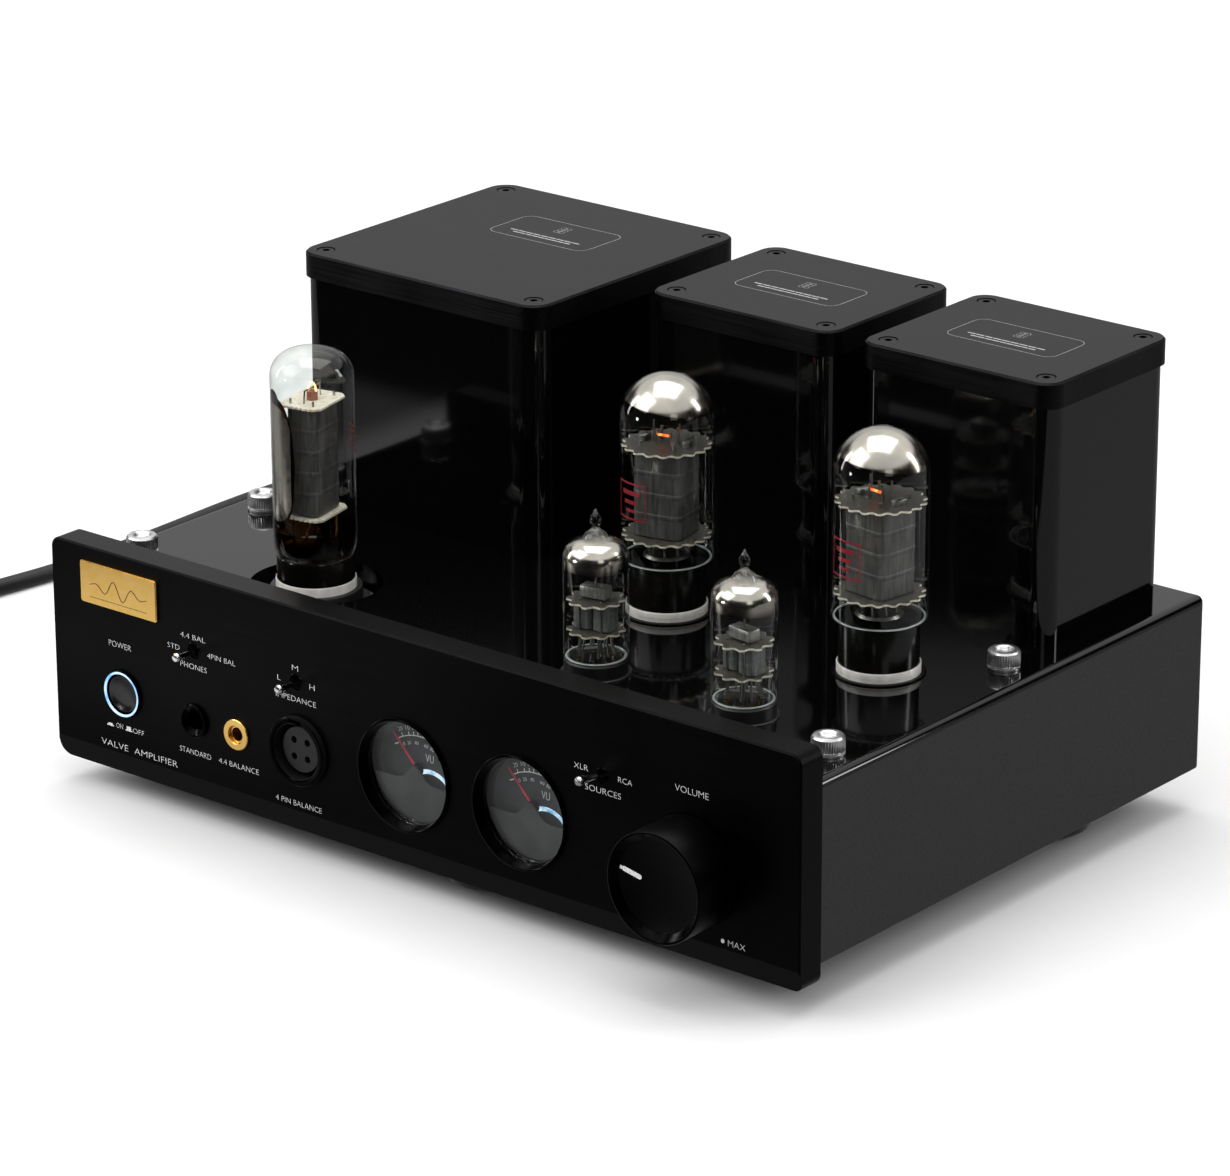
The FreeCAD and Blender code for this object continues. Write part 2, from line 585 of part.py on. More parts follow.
def input_sockets():
    """Two phono sockets, two round receptacles and the ground post."""
    sockets = []
    for x, z in RCA_INPUTS:
        profile = [(1.6, -6), (4.2, -6), (4.2, 0), (6.0, 0), (6.0, 2.0), (4.15, 2.5),
                   (4.15, 11.5), (3.7, 12.0), (1.6, 12.0)]
        sockets.append(turned(profile, V(x, BACK_Y, z), V(0, 1, 0)))
    for x, z in XLR_INPUTS:
        sockets += xlr_receptacle(x, z, BACK_Y, 1.0, 3, 18.0)
    x, z = GROUND
    tip = GROUND_TIP - BACK_Y
    profile = [(0, -8), (2.0, -8), (2.0, 3.0), (5.0, 3.0), (5.0, 5.0), (3.4, 6.0), (4.6, 7.5),
               (4.6, tip - 0.6), (4.0, tip), (0, tip)]
    sockets.append(turned(profile, V(x, BACK_Y, z), V(0, 1, 0)))
    return Part.makeCompound(sockets)


def main_board():
    """Circuit board with its four filter capacitors, on the floor of the chassis."""
    z0 = CHASSIS_Z[0] + 8.0
    parts = [box(-110, 110, -62, 60, z0, z0 + 1.6)]
    for x in (-62.0, -32.0, -2.0, 60.0):
        parts.append(cyl_z(x, 20.0, 11.0, z0 + 1.5, z0 + 36))
    for x in (-100.0, 100.0):
        for y in (-52.0, 50.0):
            parts.append(cyl_z(x, y, 3.0, CHASSIS_Z[0] + 1.5, z0))
    return fuse(parts)


# ---------------------------------------------------------------- mains lead
def iec_connector():
    x, z = INLET
    nose = prism_y(x, z, tapered_opening(11.95, 7.95, 5.0), BACK_Y - 15, BACK_Y + 3.5)
    for dx, dz in PRONGS:
        nose = nose.cut(box(x + dx - 1.4, x + dx + 1.4, BACK_Y - 20, BACK_Y - 1,
                            z + dz - 2.4, z + dz + 2.4))
    body = box(x - 14, x + 14, BACK_Y + 2.6, BACK_Y + 28, z - 10, z + 10)
    body = body.makeFillet(3.0, edges_along(body, 1, lambda c: True))
    end_y = CORD_EXIT[1]
    relief = Part.makeCone(7.0, 4.2, end_y - BACK_Y - 27, V(x, BACK_Y + 27, z), V(0, 1, 0))
    return fuse([nose, body, relief])


def lead_coil():
    """Closed outer shape of the neat coil of spare lead."""
    inner, outer = COIL_R
    soft = 3.0
    profile = [(inner, soft), (inner + soft, 0), (outer - soft, 0), (outer, soft),
               (outer, COIL_H - soft), (outer - soft, COIL_H), (inner + soft, COIL_H),
               (inner, COIL_H - soft)]
    return turned(profile, V(COIL_CENTRE[0], COIL_CENTRE[1], 0), V(0, 0, 1))


def mains_plug():
    """Moulded plug lying on the table: relief, body, two blades and an earth pin."""
    x, y, z = PLUG
    relief = Part.makeCone(4.2, 6.5, 21.0, V(x, y - 20, z), V(0, 1, 0))
    body = box(x - 12.5, x + 12.5, y, y + 36, 0.0, 2 * z)
    body = body.makeFillet(4.5, edges_along(body, 1, lambda c: True))
    parts = [relief, body]
    for sign in (-1, 1):
        parts.append(box(x + sign * 6.35 - 0.75, x + sign * 6.35 + 0.75, y + 35, y + 53,
                         z - 6.2, z + 0.2))
    parts.append(cyl_y(x, z + 5.0, 2.4, y + 35, y + 56))
    return fuse(parts)


# ---------------------------------------------------------------- the assembly
def build():
    nodes = {
        "front_panel": front_panel(), "top_deck": top_deck(),
        "side_left": side(-1), "side_right": side(1), "rear_panel": rear_panel(),
        "bottom_cover": bottom_cover(), "name_badge": name_badge(), "thumb_nuts": thumb_nuts(),
        "cap_screws": cap_screws(),
    }
    for name, (x, y) in FEET.items():
        nodes["foot_" + name] = foot(x, y)

    cores, windings = [], []
    for name in COVERS:
        nodes[name + "_cover"] = cover(name)
        nodes[name + "_cap"] = cap(name)
        core, winding = core_parts(name)
        cores.append(core)
        windings.append(winding)
    nodes["transformer_cores"] = Part.makeCompound(cores)
    nodes["transformer_windings"] = Part.makeCompound(windings)

    x, y = RECTIFIER
    top = DECK + SOCKET_TOP["rectifier"]
    nodes["rectifier_socket"] = octal_socket(x, y, top)
    base_z = DECK + BASE_TOP["rectifier"]
    nodes["rectifier_base"] = octal_base(x, y, top - SEAT, base_z)
    nodes["rectifier_glass"] = envelope(x, y, base_z, DECK + 83.5, 14.3, 12.6, 6.0, 9.0, crown=4.0)
    nodes["rectifier_plates"] = electrodes(x, y, base_z, DECK + 72.0, 11.5, 17.0, 12.4)

    sockets = []
    for name, (x, y) in POWER_VALVES.items():
        top = DECK + SOCKET_TOP["power"]
        sockets.append(octal_socket(x, y, top))
        stem = "power_valve_%s_" % name
        base_z = DECK + BASE_TOP["power"]
        nodes[stem + "base"] = octal_base(x, y, top - SEAT, base_z)
        nodes[stem + "glass"] = envelope(x, y, base_z, DECK + 84.0, 16.1, 15.4, 1.6, 15.0)
        nodes[stem + "plates"] = electrodes(x, y, base_z, DECK + 61.0, 18.0, 17.0, 14.6)
    nodes["power_valve_sockets"] = Part.makeCompound(sockets)

    sockets = []
    for name, (x, y) in DRIVERS.items():
        top = DECK + SOCKET_TOP["driver"]
        sockets.append(noval_socket(x, y, top))
        stem = "driver_valve_%s_" % name
        nodes[stem + "glass"] = envelope(x, y, top + 0.2, DECK + 46.1, 10.9, 10.2, 1.8, 6.2, 4.2,
                                         NIPPLE)
        nodes[stem + "plates"] = electrodes(x, y, top + 0.2, DECK + 27.0, 13.0, 8.0, 9.4)
    nodes["driver_valve_sockets"] = Part.makeCompound(sockets)

    nodes["power_button"] = power_button()
    nodes["power_ring"] = power_ring()
    nodes["panel_switches"] = panel_switches()
    for name in TOGGLES:
        nodes[name + "_lever"] = lever(name)
    nodes["headphone_jack"] = headphone_jack()
    nodes["balanced_jack"] = balanced_jack()
    nodes["xlr_socket"] = Part.makeCompound(xlr_receptacle(XLR[0], XLR[1], FACE_Y, -1.0, 4, 22.0))
    for name in METERS:
        nodes["meter_%s_bezel" % name] = meter_bezel(name)
        nodes["meter_%s_needle" % name] = meter_needle(name)
    nodes["meter_glasses"], nodes["meter_dials"] = meter_parts()
    nodes["volume_knob"] = volume_knob()
    nodes["potentiometer"] = potentiometer()

    nodes["iec_inlet"] = iec_inlet()
    nodes["input_sockets"] = input_sockets()
    nodes["main_board"] = main_board()
    nodes["iec_connector"] = iec_connector()
    nodes["mains_lead"] = Part.makeCompound([tube(LEAD, CORD_R), tube(TAIL, CORD_R)])
    nodes["lead_coil"] = lead_coil()
    nodes["mains_plug"] = mains_plug()
    return nodes


os.makedirs("parts", exist_ok=True)
for node_name, shape in build().items():
    if not shape.isValid():
        print("not valid:", node_name)
    shape.exportStep("parts/%s.step" % node_name)
    print("%-28s %2d solid(s) %10.1f mm3" % (node_name, len(shape.Solids), shape.Volume))
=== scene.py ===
"""Looks of a valve headphone amplifier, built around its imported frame.

Each sub-assembly is a class that holds its sizes in millimetres, takes its place from the frame's
nodes, and builds and dresses its own pieces.  Meshes are shaped in millimetres and turned to
metres as they are finished, so every object stays at the origin with its place in its mesh.
"""
import logging
import math
from dataclasses import dataclass, field
from enum import Enum
from typing import Callable, Optional, Sequence

import bmesh
import bpy
from mathutils import Matrix, Vector


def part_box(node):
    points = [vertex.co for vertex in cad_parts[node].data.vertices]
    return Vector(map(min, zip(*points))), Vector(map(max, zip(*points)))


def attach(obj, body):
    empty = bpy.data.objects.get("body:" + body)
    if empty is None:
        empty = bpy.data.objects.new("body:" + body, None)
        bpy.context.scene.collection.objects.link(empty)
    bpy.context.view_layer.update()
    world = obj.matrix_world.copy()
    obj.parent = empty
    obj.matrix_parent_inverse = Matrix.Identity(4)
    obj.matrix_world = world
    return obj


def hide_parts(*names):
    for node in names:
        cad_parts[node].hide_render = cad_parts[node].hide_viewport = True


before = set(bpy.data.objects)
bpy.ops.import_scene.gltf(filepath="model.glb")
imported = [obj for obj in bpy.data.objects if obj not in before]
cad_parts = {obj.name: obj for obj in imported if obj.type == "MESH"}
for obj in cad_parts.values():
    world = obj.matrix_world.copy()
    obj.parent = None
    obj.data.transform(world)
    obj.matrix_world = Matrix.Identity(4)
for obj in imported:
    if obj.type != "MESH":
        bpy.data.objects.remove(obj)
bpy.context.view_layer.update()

MM = 0.001                         # metres in a millimetre
LOG = logging.getLogger("amplifier")

Point = tuple[float, float]
Place3 = tuple[float, float, float]


# ================================================================ camera
@dataclass(frozen=True)
class ProductCamera:
    """A long lens to the right of the front panel and above it, in metres and degrees."""

    place: Place3 = (1.13154, -1.38306, 0.73098)
    azimuth: float = 39.39
    elevation: float = 20.13
    roll: float = -0.16
    lens: float = 163.19               # mm, on a sensor 36 mm wide

    def build(self) -> None:
        """Adds the camera and makes it the scene's."""
        data = bpy.data.cameras.new("camera")
        data.lens, data.sensor_width, data.sensor_fit = self.lens, 36.0, "HORIZONTAL"
        data.clip_start, data.clip_end = 0.05, 30.0
        turn = (Matrix.Rotation(math.radians(self.azimuth), 4, "Z")
                @ Matrix.Rotation(math.radians(90.0 - self.elevation), 4, "X")
                @ Matrix.Rotation(math.radians(self.roll), 4, "Z"))
        camera = bpy.data.objects.new("camera", data)
        camera.matrix_world = Matrix.Translation(self.place) @ turn
        bpy.context.scene.collection.objects.link(camera)
        bpy.context.scene.camera = camera


# ================================================================ materials
def srgb(code: str, alpha: float = 1.0) -> tuple[float, float, float, float]:
    """Turns an sRGB hex colour to the linear colour that a socket takes.

    Args:
        code: six hex digits, with or without a leading hash.
        alpha: the fourth number.

    Returns:
        Linear red, green, blue and alpha.
    """
    digits = code.lstrip("#")
    shown = [int(digits[i:i + 2], 16) / 255.0 for i in (0, 2, 4)]
    line = [c / 12.92 if c <= 0.04045 else ((c + 0.055) / 1.055) ** 2.4 for c in shown]
    return (line[0], line[1], line[2], alpha)


def add(tree: bpy.types.NodeTree, kind: str, settings: Optional[dict] = None,
        **links: object) -> bpy.types.Node:
    """Adds one node, with its settings, input values and links.

    Args:
        tree: the node tree that it goes in.
        kind: the node's type, such as ShaderNodeTexNoise.
        settings: attributes such as operation, or input values by socket name or number.
        links: output sockets to join to inputs, by socket name with _ for a space, or iN by number.

    Returns:
        The new node.
    """
    node = tree.nodes.new(kind)
    for key, value in (settings or {}).items():
        if isinstance(key, int):
            node.inputs[key].default_value = value
        elif key in node.inputs and not hasattr(node, key):
            node.inputs[key].default_value = value
        else:
            setattr(node, key, value)
    for key, socket in links.items():
        numbered = key[0] == "i" and key[1:].isdigit()
        target = node.inputs[int(key[1:])] if numbered else node.inputs[key.replace("_", " ")]
        tree.links.new(socket, target)
    return node


def ramp(tree: bpy.types.NodeTree, factor: object, stops: Sequence[tuple[float, str]]) -> object:
    """A colour ramp over a factor socket, with (place, hex colour) stops; returns its colour."""
    node = add(tree, "ShaderNodeValToRGB", None, Fac=factor)
    band = node.color_ramp
    while len(band.elements) < len(stops):
        band.elements.new(1.0)
    for element, (place, code) in zip(band.elements, stops):
        element.position, element.color = place, srgb(code)
    return node.outputs["Color"]


def spread(tree: bpy.types.NodeTree, factor: object, low: float, high: float) -> object:
    """Maps a factor of 0 to 1 to the range low to high; returns the value socket."""
    node = add(tree, "ShaderNodeMapRange", {"To Min": low, "To Max": high}, Value=factor)
    return node.outputs["Result"]


def mm_coords(tree: bpy.types.NodeTree, stretch: Place3 = (1.0, 1.0, 1.0)) -> object:
    """Object coordinates counted in millimetres, each axis then times stretch."""
    source = add(tree, "ShaderNodeTexCoord").outputs["Object"]
    scale = [s / MM for s in stretch]
    return add(tree, "ShaderNodeMapping", {"Scale": scale}, Vector=source).outputs["Vector"]


def noise(tree: bpy.types.NodeTree, scale: float, detail: float,
          stretch: Place3 = (1.0, 1.0, 1.0)) -> object:
    """Noise with that many cells to a millimetre, each axis times stretch; its factor socket."""
    return add(tree, "ShaderNodeTexNoise", {"Scale": scale, "Detail": detail},
               Vector=mm_coords(tree, stretch)).outputs["Fac"]


def relief(tree: bpy.types.NodeTree, height: object, depth: float, strength: float) -> object:
    """Bump from a height socket, depth in millimetres; returns the normal socket."""
    return add(tree, "ShaderNodeBump", {"Strength": strength, "Distance": depth * MM},
               Height=height).outputs["Normal"]


@dataclass(frozen=True)
class Finish:
    """What every finish holds; each kind below says how its surface was made."""

    name: str

    def surface(self, tree: bpy.types.NodeTree) -> bpy.types.Node:
        """Builds the shader node that the surface shows."""
        raise NotImplementedError

    def material(self) -> bpy.types.Material:
        """Returns this finish's material, made on first use."""
        made = bpy.data.materials.get("finish_" + self.name)
        if made is None:
            made = bpy.data.materials.new("finish_" + self.name)
            made.use_nodes = True
            tree = made.node_tree
            tree.nodes.clear()
            shader = self.surface(tree)
            add(tree, "ShaderNodeOutputMaterial", None, Surface=shader.outputs[0])
        return made


@dataclass(frozen=True)
class BrushedAnodised(Finish):
    """Aluminium, brushed along X and anodised: streaks in gloss and depth, a satin sheen."""

    dark: str = "0c0c0d"
    light: str = "161617"
    rough: Point = (0.30, 0.46)
    depth: float = 0.02                # mm of bump
    grain: Place3 = (0.02, 1.6, 1.6)   # streaks 50 mm long and 0.6 mm wide, as coarse as they show

    def surface(self, tree: bpy.types.NodeTree) -> bpy.types.Node:
        """Streak noise drives colour, roughness and bump; a broad mottle dulls patches."""
        streak = noise(tree, 1.0, 4.0, self.grain)
        mottle = noise(tree, 0.03, 2.0)
        mixed = add(tree, "ShaderNodeMath", {"operation": "MULTIPLY_ADD", 1: 0.6, 2: 0.0},
                    i0=streak, i2=spread(tree, mottle, 0.0, 0.4)).outputs[0]
        normal = relief(tree, streak, self.depth, 0.35)
        return add(tree, "ShaderNodeBsdfPrincipled", {"Metallic": 1.0},
                   Base_Color=ramp(tree, mixed, ((0.3, self.dark), (0.7, self.light))),
                   Roughness=spread(tree, mixed, *self.rough), Normal=normal)


@dataclass(frozen=True)
class GlossLacquer(Finish):
    """Steel under gloss black lacquer: a mirror coat with faint orange peel and fine dust haze."""

    def surface(self, tree: bpy.types.NodeTree) -> bpy.types.Node:
        """Long waves of orange peel about 6 mm across, and a haze that dulls by a little."""
        peel = noise(tree, 0.16, 1.0)
        haze = noise(tree, 0.9, 5.0)
        normal = relief(tree, peel, 0.02, 0.12)
        return add(tree, "ShaderNodeBsdfPrincipled", {"IOR": 1.5},
                   Base_Color=ramp(tree, haze, ((0.3, "020202"), (0.7, "060606"))),
                   Roughness=spread(tree, haze, 0.03, 0.09), Normal=normal)


@dataclass(frozen=True)
class PowderCoat(Finish):
    """Steel sheet with baked satin powder: an even fine pebble, 0.7 mm from grain to grain."""

    dark: str = "1b1b1c"
    light: str = "262627"

    def surface(self, tree: bpy.types.NodeTree) -> bpy.types.Node:
        """Pebble from rounded cells; hollows a touch darker and duller."""
        cell = add(tree, "ShaderNodeTexVoronoi", {"Scale": 1.4, "feature": "SMOOTH_F1"},
                   Vector=mm_coords(tree)).outputs["Distance"]
        normal = relief(tree, cell, 0.05, 0.25)
        return add(tree, "ShaderNodeBsdfPrincipled", {"IOR": 1.5},
                   Base_Color=ramp(tree, cell, ((0.1, self.light), (0.7, self.dark))),
                   Roughness=spread(tree, cell, 0.42, 0.60), Normal=normal)


@dataclass(frozen=True)
class PlatedMetal(Finish):
    """Polished and plated metal: bright, with faint polishing marks and handling haze."""

    dark: str = "c9c9cc"
    light: str = "ececee"
    rough: Point = (0.06, 0.18)

    def surface(self, tree: bpy.types.NodeTree) -> bpy.types.Node:
        """Haze a few millimetres across over fine marks."""
        haze = noise(tree, 0.35, 6.0)
        marks = noise(tree, 1.5, 2.0, (0.3, 3.0, 3.0))
        normal = relief(tree, marks, 0.01, 0.1)
        return add(tree, "ShaderNodeBsdfPrincipled", {"Metallic": 1.0},
                   Base_Color=ramp(tree, haze, ((0.3, self.dark), (0.65, self.light))),
                   Roughness=spread(tree, haze, *self.rough), Normal=normal)


@dataclass(frozen=True)
class TurnedAluminium(Finish):
    """Anodised aluminium turned on a lathe about Y: rings of fine tool marks round a centre."""

    centre: Point = (0.0, 0.0)         # x and z of the axis, mm
    dark: str = "101010"
    light: str = "1a1a1b"

    def surface(self, tree: bpy.types.NodeTree) -> bpy.types.Node:
        """Rings a third of a millimetre apart, drawn from the distance to the axis."""
        source = add(tree, "ShaderNodeTexCoord").outputs["Object"]
        x, z = self.centre
        # the location is added after the scale, so it is in millimetres
        flat = add(tree, "ShaderNodeMapping",
                   {"Location": (-x, 0.0, -z), "Scale": (1 / MM, 0.0, 1 / MM)}, Vector=source)
        reach = add(tree, "ShaderNodeVectorMath", {"operation": "LENGTH"},
                    i0=flat.outputs["Vector"]).outputs["Value"]
        ring = add(tree, "ShaderNodeTexNoise",
                   {"noise_dimensions": "1D", "Scale": 3.0, "Detail": 3.0}, W=reach).outputs["Fac"]
        normal = relief(tree, ring, 0.02, 0.2)
        return add(tree, "ShaderNodeBsdfPrincipled", {"Metallic": 1.0},
                   Base_Color=ramp(tree, ring, ((0.3, self.dark), (0.7, self.light))),
                   Roughness=spread(tree, ring, 0.30, 0.42), Normal=normal)


@dataclass(frozen=True)
class MouldedPlastic(Finish):
    """Moulded plastic or rubber: a soft mould texture, matt or glossy by its roughness."""

    dark: str = "0b0b0b"
    light: str = "141414"
    rough: Point = (0.35, 0.5)
    grain: float = 1.1                 # grains to a millimetre
    depth: float = 0.02                # mm

    def surface(self, tree: bpy.types.NodeTree) -> bpy.types.Node:
        """One noise at the mould's grain, one broad for handling."""
        grain = noise(tree, self.grain, 3.0)
        broad = noise(tree, 0.08, 2.0)
        normal = relief(tree, grain, self.depth, 0.3)
        return add(tree, "ShaderNodeBsdfPrincipled", {"IOR": 1.5},
                   Base_Color=ramp(tree, broad, ((0.35, self.dark), (0.65, self.light))),
                   Roughness=spread(tree, grain, *self.rough), Normal=normal)


@dataclass(frozen=True)
class GlazedCeramic(Finish):
    """Steatite under a clear glaze: warm white, a little cloudy, sharp highlights."""

    dark: str = "d9d6cd"
    light: str = "f4f2ec"

    def surface(self, tree: bpy.types.NodeTree) -> bpy.types.Node:
        """Cloud in the body, a clear coat for the glaze."""
        cloud = noise(tree, 0.3, 4.0)
        return add(tree, "ShaderNodeBsdfPrincipled",
                   {"IOR": 1.5, "Coat Weight": 0.6, "Coat Roughness": 0.08},
                   Base_Color=ramp(tree, cloud, ((0.3, self.dark), (0.7, self.light))),
                   Roughness=spread(tree, cloud, 0.25, 0.4))


@dataclass(frozen=True)
class BlownGlass(Finish):
    """Clear glass blown into a mould, thin enough that it only mirrors and tints."""

    tint: str = "f4f6f4"
    cloudy: str = "dfe3e2"

    def surface(self, tree: bpy.types.NodeTree) -> bpy.types.Node:
        """Mirrors at grazing angles, lets the rest through with a slight uneven tint."""
        wave = noise(tree, 0.12, 1.0)
        normal = relief(tree, wave, 0.05, 0.1)
        clear = add(tree, "ShaderNodeBsdfTransparent", None,
                    Color=ramp(tree, wave, ((0.2, self.cloudy), (0.6, self.tint))))
        mirror = add(tree, "ShaderNodeBsdfGlossy", {"Roughness": 0.02, "Color": srgb("ffffff")},
                     Normal=normal)
        back = add(tree, "ShaderNodeNewGeometry").outputs["Backfacing"]
        # a thin wall mirrors alike on both faces, so the index is turned over on the inner one
        edge = add(tree, "ShaderNodeFresnel", None, IOR=spread(tree, back, 1.5, 1.0 / 1.5),
                   Normal=normal)
        return add(tree, "ShaderNodeMixShader", None, i0=edge.outputs["Fac"],
                   i1=clear.outputs[0], i2=mirror.outputs[0])


@dataclass(frozen=True)
class GetterMirror(Finish):
    """Barium flashed on the inside of a bulb: a silver mirror that browns towards its edge."""

    top: float = 160.0                 # mm, where the flash is thickest
    edge: float = 150.0                # mm, where it ends

    def surface(self, tree: bpy.types.NodeTree) -> bpy.types.Node:
        """Height sets the fade; noise makes the mirror patchy."""
        source = add(tree, "ShaderNodeTexCoord").outputs["Object"]
        height = add(tree, "ShaderNodeSeparateXYZ", None, Vector=source).outputs["Z"]
        fade = add(tree, "ShaderNodeMapRange",
                   {"From Min": self.edge * MM, "From Max": self.top * MM}, Value=height)
        patch = noise(tree, 0.5, 4.0)
        colour = ramp(tree, fade.outputs["Result"],
                      ((0.0, "2a1f18"), (0.2, "8d7f74"), (0.5, "cfc5bc"), (1.0, "e1d7cd")))
        return add(tree, "ShaderNodeBsdfPrincipled", {"Metallic": 1.0}, Base_Color=colour,
                   Roughness=spread(tree, patch, 0.08, 0.3))


@dataclass(frozen=True)
class SheetMetal(Finish):
    """Rolled sheet inside a valve: carbonised or bare nickel with soft rolling streaks."""

    dark: str = "3b3a39"
    light: str = "6b6865"
    rough: Point = (0.35, 0.6)
    metal: float = 0.8

    def surface(self, tree: bpy.types.NodeTree) -> bpy.types.Node:
        """Streaks run up the sheet."""
        streak = noise(tree, 1.0, 4.0, (0.9, 0.9, 0.12))
        return add(tree, "ShaderNodeBsdfPrincipled", {"Metallic": self.metal},
                   Base_Color=ramp(tree, streak, ((0.3, self.dark), (0.7, self.light))),
                   Roughness=spread(tree, streak, *self.rough))


@dataclass(frozen=True)
class MicaSheet(Finish):
    """Split mica, sprayed white: pale, layered and slightly translucent."""

    dark: str = "a59a84"
    light: str = "efe9dc"

    def surface(self, tree: bpy.types.NodeTree) -> bpy.types.Node:
        """Layered patches a millimetre or two across."""
        layer = noise(tree, 0.7, 5.0)
        return add(tree, "ShaderNodeBsdfPrincipled",
                   {"IOR": 1.56, "Subsurface Weight": 0.15, "Subsurface Scale": 0.001},
                   Base_Color=ramp(tree, layer, ((0.3, self.dark), (0.6, self.light))),
                   Roughness=spread(tree, layer, 0.35, 0.6))


@dataclass(frozen=True)
class Glow(Finish):
    """A surface that gives light, uneven in strength: a hot cathode, a lit plastic, and on the
    meters a painted pool of lamp light.
    """

    dim: str = "ff5a12"
    bright: str = "ffc27a"
    power: float = 6.0
    cells: float = 0.8                 # patches to a millimetre

    def surface(self, tree: bpy.types.NodeTree) -> bpy.types.Node:
        """Noise sets both the colour and where it is brightest."""
        heat = noise(tree, self.cells, 2.0)
        colour = ramp(tree, heat, ((0.35, self.dim), (0.65, self.bright)))
        return add(tree, "ShaderNodeBsdfPrincipled",
                   {"Roughness": 0.4, "Base Color": srgb("202020"),
                    "Emission Strength": self.power}, Emission_Color=colour)


@dataclass(frozen=True)
class PrintedInk(Finish):
    """Screen-printed ink: flat, with tiny thin spots."""

    dark: str = "b8b8b8"
    light: str = "e6e6e6"

    def surface(self, tree: bpy.types.NodeTree) -> bpy.types.Node:
        """Thin spots a tenth of a millimetre across, drawn at a third to show."""
        thin = noise(tree, 3.0, 2.0)
        return add(tree, "ShaderNodeBsdfPrincipled", {"IOR": 1.5},
                   Base_Color=ramp(tree, thin, ((0.3, self.dark), (0.6, self.light))),
                   Roughness=spread(tree, thin, 0.5, 0.7))


@dataclass(frozen=True)
class StackedSteel(Finish):
    """A stack of varnished laminations: fine edges one above another."""

    dark: str = "2b2b2e"
    light: str = "6f7074"

    def surface(self, tree: bpy.types.NodeTree) -> bpy.types.Node:
        """Bands 0.5 mm thick across Y, as a stack is clamped."""
        band = add(tree, "ShaderNodeTexWave",
                   {"bands_direction": "Y", "Scale": 0.32, "Distortion": 0.6},
                   Vector=mm_coords(tree)).outputs["Fac"]
        return add(tree, "ShaderNodeBsdfPrincipled", {"Metallic": 1.0},
                   Base_Color=ramp(tree, band, ((0.2, self.dark), (0.8, self.light))),
                   Roughness=spread(tree, band, 0.4, 0.6))


@dataclass(frozen=True)
class WoundWire(Finish):
    """Enamelled copper wire wound in level layers, each turn 0.8 mm."""

    def surface(self, tree: bpy.types.NodeTree) -> bpy.types.Node:
        """Bands round the winding, with painted shade in the grooves between turns and a painted
        highlight on each turn's ridge.
        """
        band = add(tree, "ShaderNodeTexWave",
                   {"bands_direction": "Z", "Scale": 0.2, "Distortion": 0.3},
                   Vector=mm_coords(tree)).outputs["Fac"]
        normal = relief(tree, band, 0.3, 0.8)
        # colour follows the bump: painted shade in the grooves, a painted highlight on the ridges
        return add(tree, "ShaderNodeBsdfPrincipled", {"Metallic": 1.0},
                   Base_Color=ramp(tree, band, ((0.1, "5a2c12"), (0.8, "b8703c"))),
                   Roughness=spread(tree, band, 0.45, 0.25), Normal=normal)


PANEL = BrushedAnodised("brushed_black_anodised_panel")
CAP = BrushedAnodised("coarse_brushed_black_anodised_cap", dark="0b0b0c", light="2a2a2c",
                      rough=(0.30, 0.5), depth=0.06)
LACQUER = GlossLacquer("gloss_black_lacquer")
POWDER = PowderCoat("satin_black_powder_coat")
GOLD = PlatedMetal("gold_plate", dark="ecbd62", light="f4ca78", rough=(0.20, 0.27))
CHROME = PlatedMetal("bright_chrome")
NUT = PlatedMetal("satin_nickel_plate", dark="cfcfd1", light="e9e9ea", rough=(0.26, 0.38))
OXIDE = PlatedMetal("black_oxide_steel", dark="0c0c0d", light="19191a", rough=(0.28, 0.45))
BRASS = PlatedMetal("turned_brass", dark="8a6a34", light="c79d55", rough=(0.2, 0.35))
NICKEL = PlatedMetal("nickel_wire", dark="8c8a86", light="c4c2bd", rough=(0.2, 0.4))
BEZEL = PlatedMetal("polished_black_anodised", dark="040404", light="0a0a0a", rough=(0.12, 0.2))
FOOT = MouldedPlastic("moulded_foot", dark="070707", light="0e0e0e", rough=(0.18, 0.3))
BUTTON = MouldedPlastic("gloss_abs_button", dark="030303", light="070707", rough=(0.14, 0.24))
ABS = MouldedPlastic("moulded_black_abs")
PHENOLIC = MouldedPlastic("moulded_phenolic_base", dark="080706", light="100e0c",
                          rough=(0.12, 0.22), depth=0.01)
PVC = MouldedPlastic("black_pvc_jacket", dark="0e0e0e", light="181818", rough=(0.4, 0.55))
DIAL = MouldedPlastic("dark_grey_dial_paint", dark="2f3133", light="3a3c3e", rough=(0.6, 0.8))
MASK = MouldedPlastic("grey_meter_mask", dark="3a3a3a", light="444444", rough=(0.5, 0.65))
BOARD = MouldedPlastic("green_solder_mask", dark="0d3a1c", light="14502a", rough=(0.3, 0.45))
CERAMIC = GlazedCeramic("glazed_steatite")
SEAL = GlazedCeramic("sintered_glass_foot", dark="9ea3a1", light="cfd4d2")
SMOKE = BlownGlass("smoked_glass", tint="a07c56", cloudy="6e5034")
BROWN_FILM = BlownGlass("brown_getter_film", tint="7a5636", cloudy="4a3222")
GLASS = BlownGlass("blown_clear_glass")
WINDOW = BlownGlass("flat_meter_glass", tint="fbfcfc", cloudy="f2f4f4")
ANODE = SheetMetal("carbonised_nickel_sheet", dark="4a4948", light="6f6c69", metal=0.35)
SHIELD = SheetMetal("bare_nickel_shield", dark="9c9a97", light="cfccc8", rough=(0.25, 0.4))
PALE_ANODE = SheetMetal("grey_coated_anode", dark="5d5f5f", light="868886", metal=0.3)
MICA = MicaSheet("clear_split_mica", dark="34322e", light="57534c")
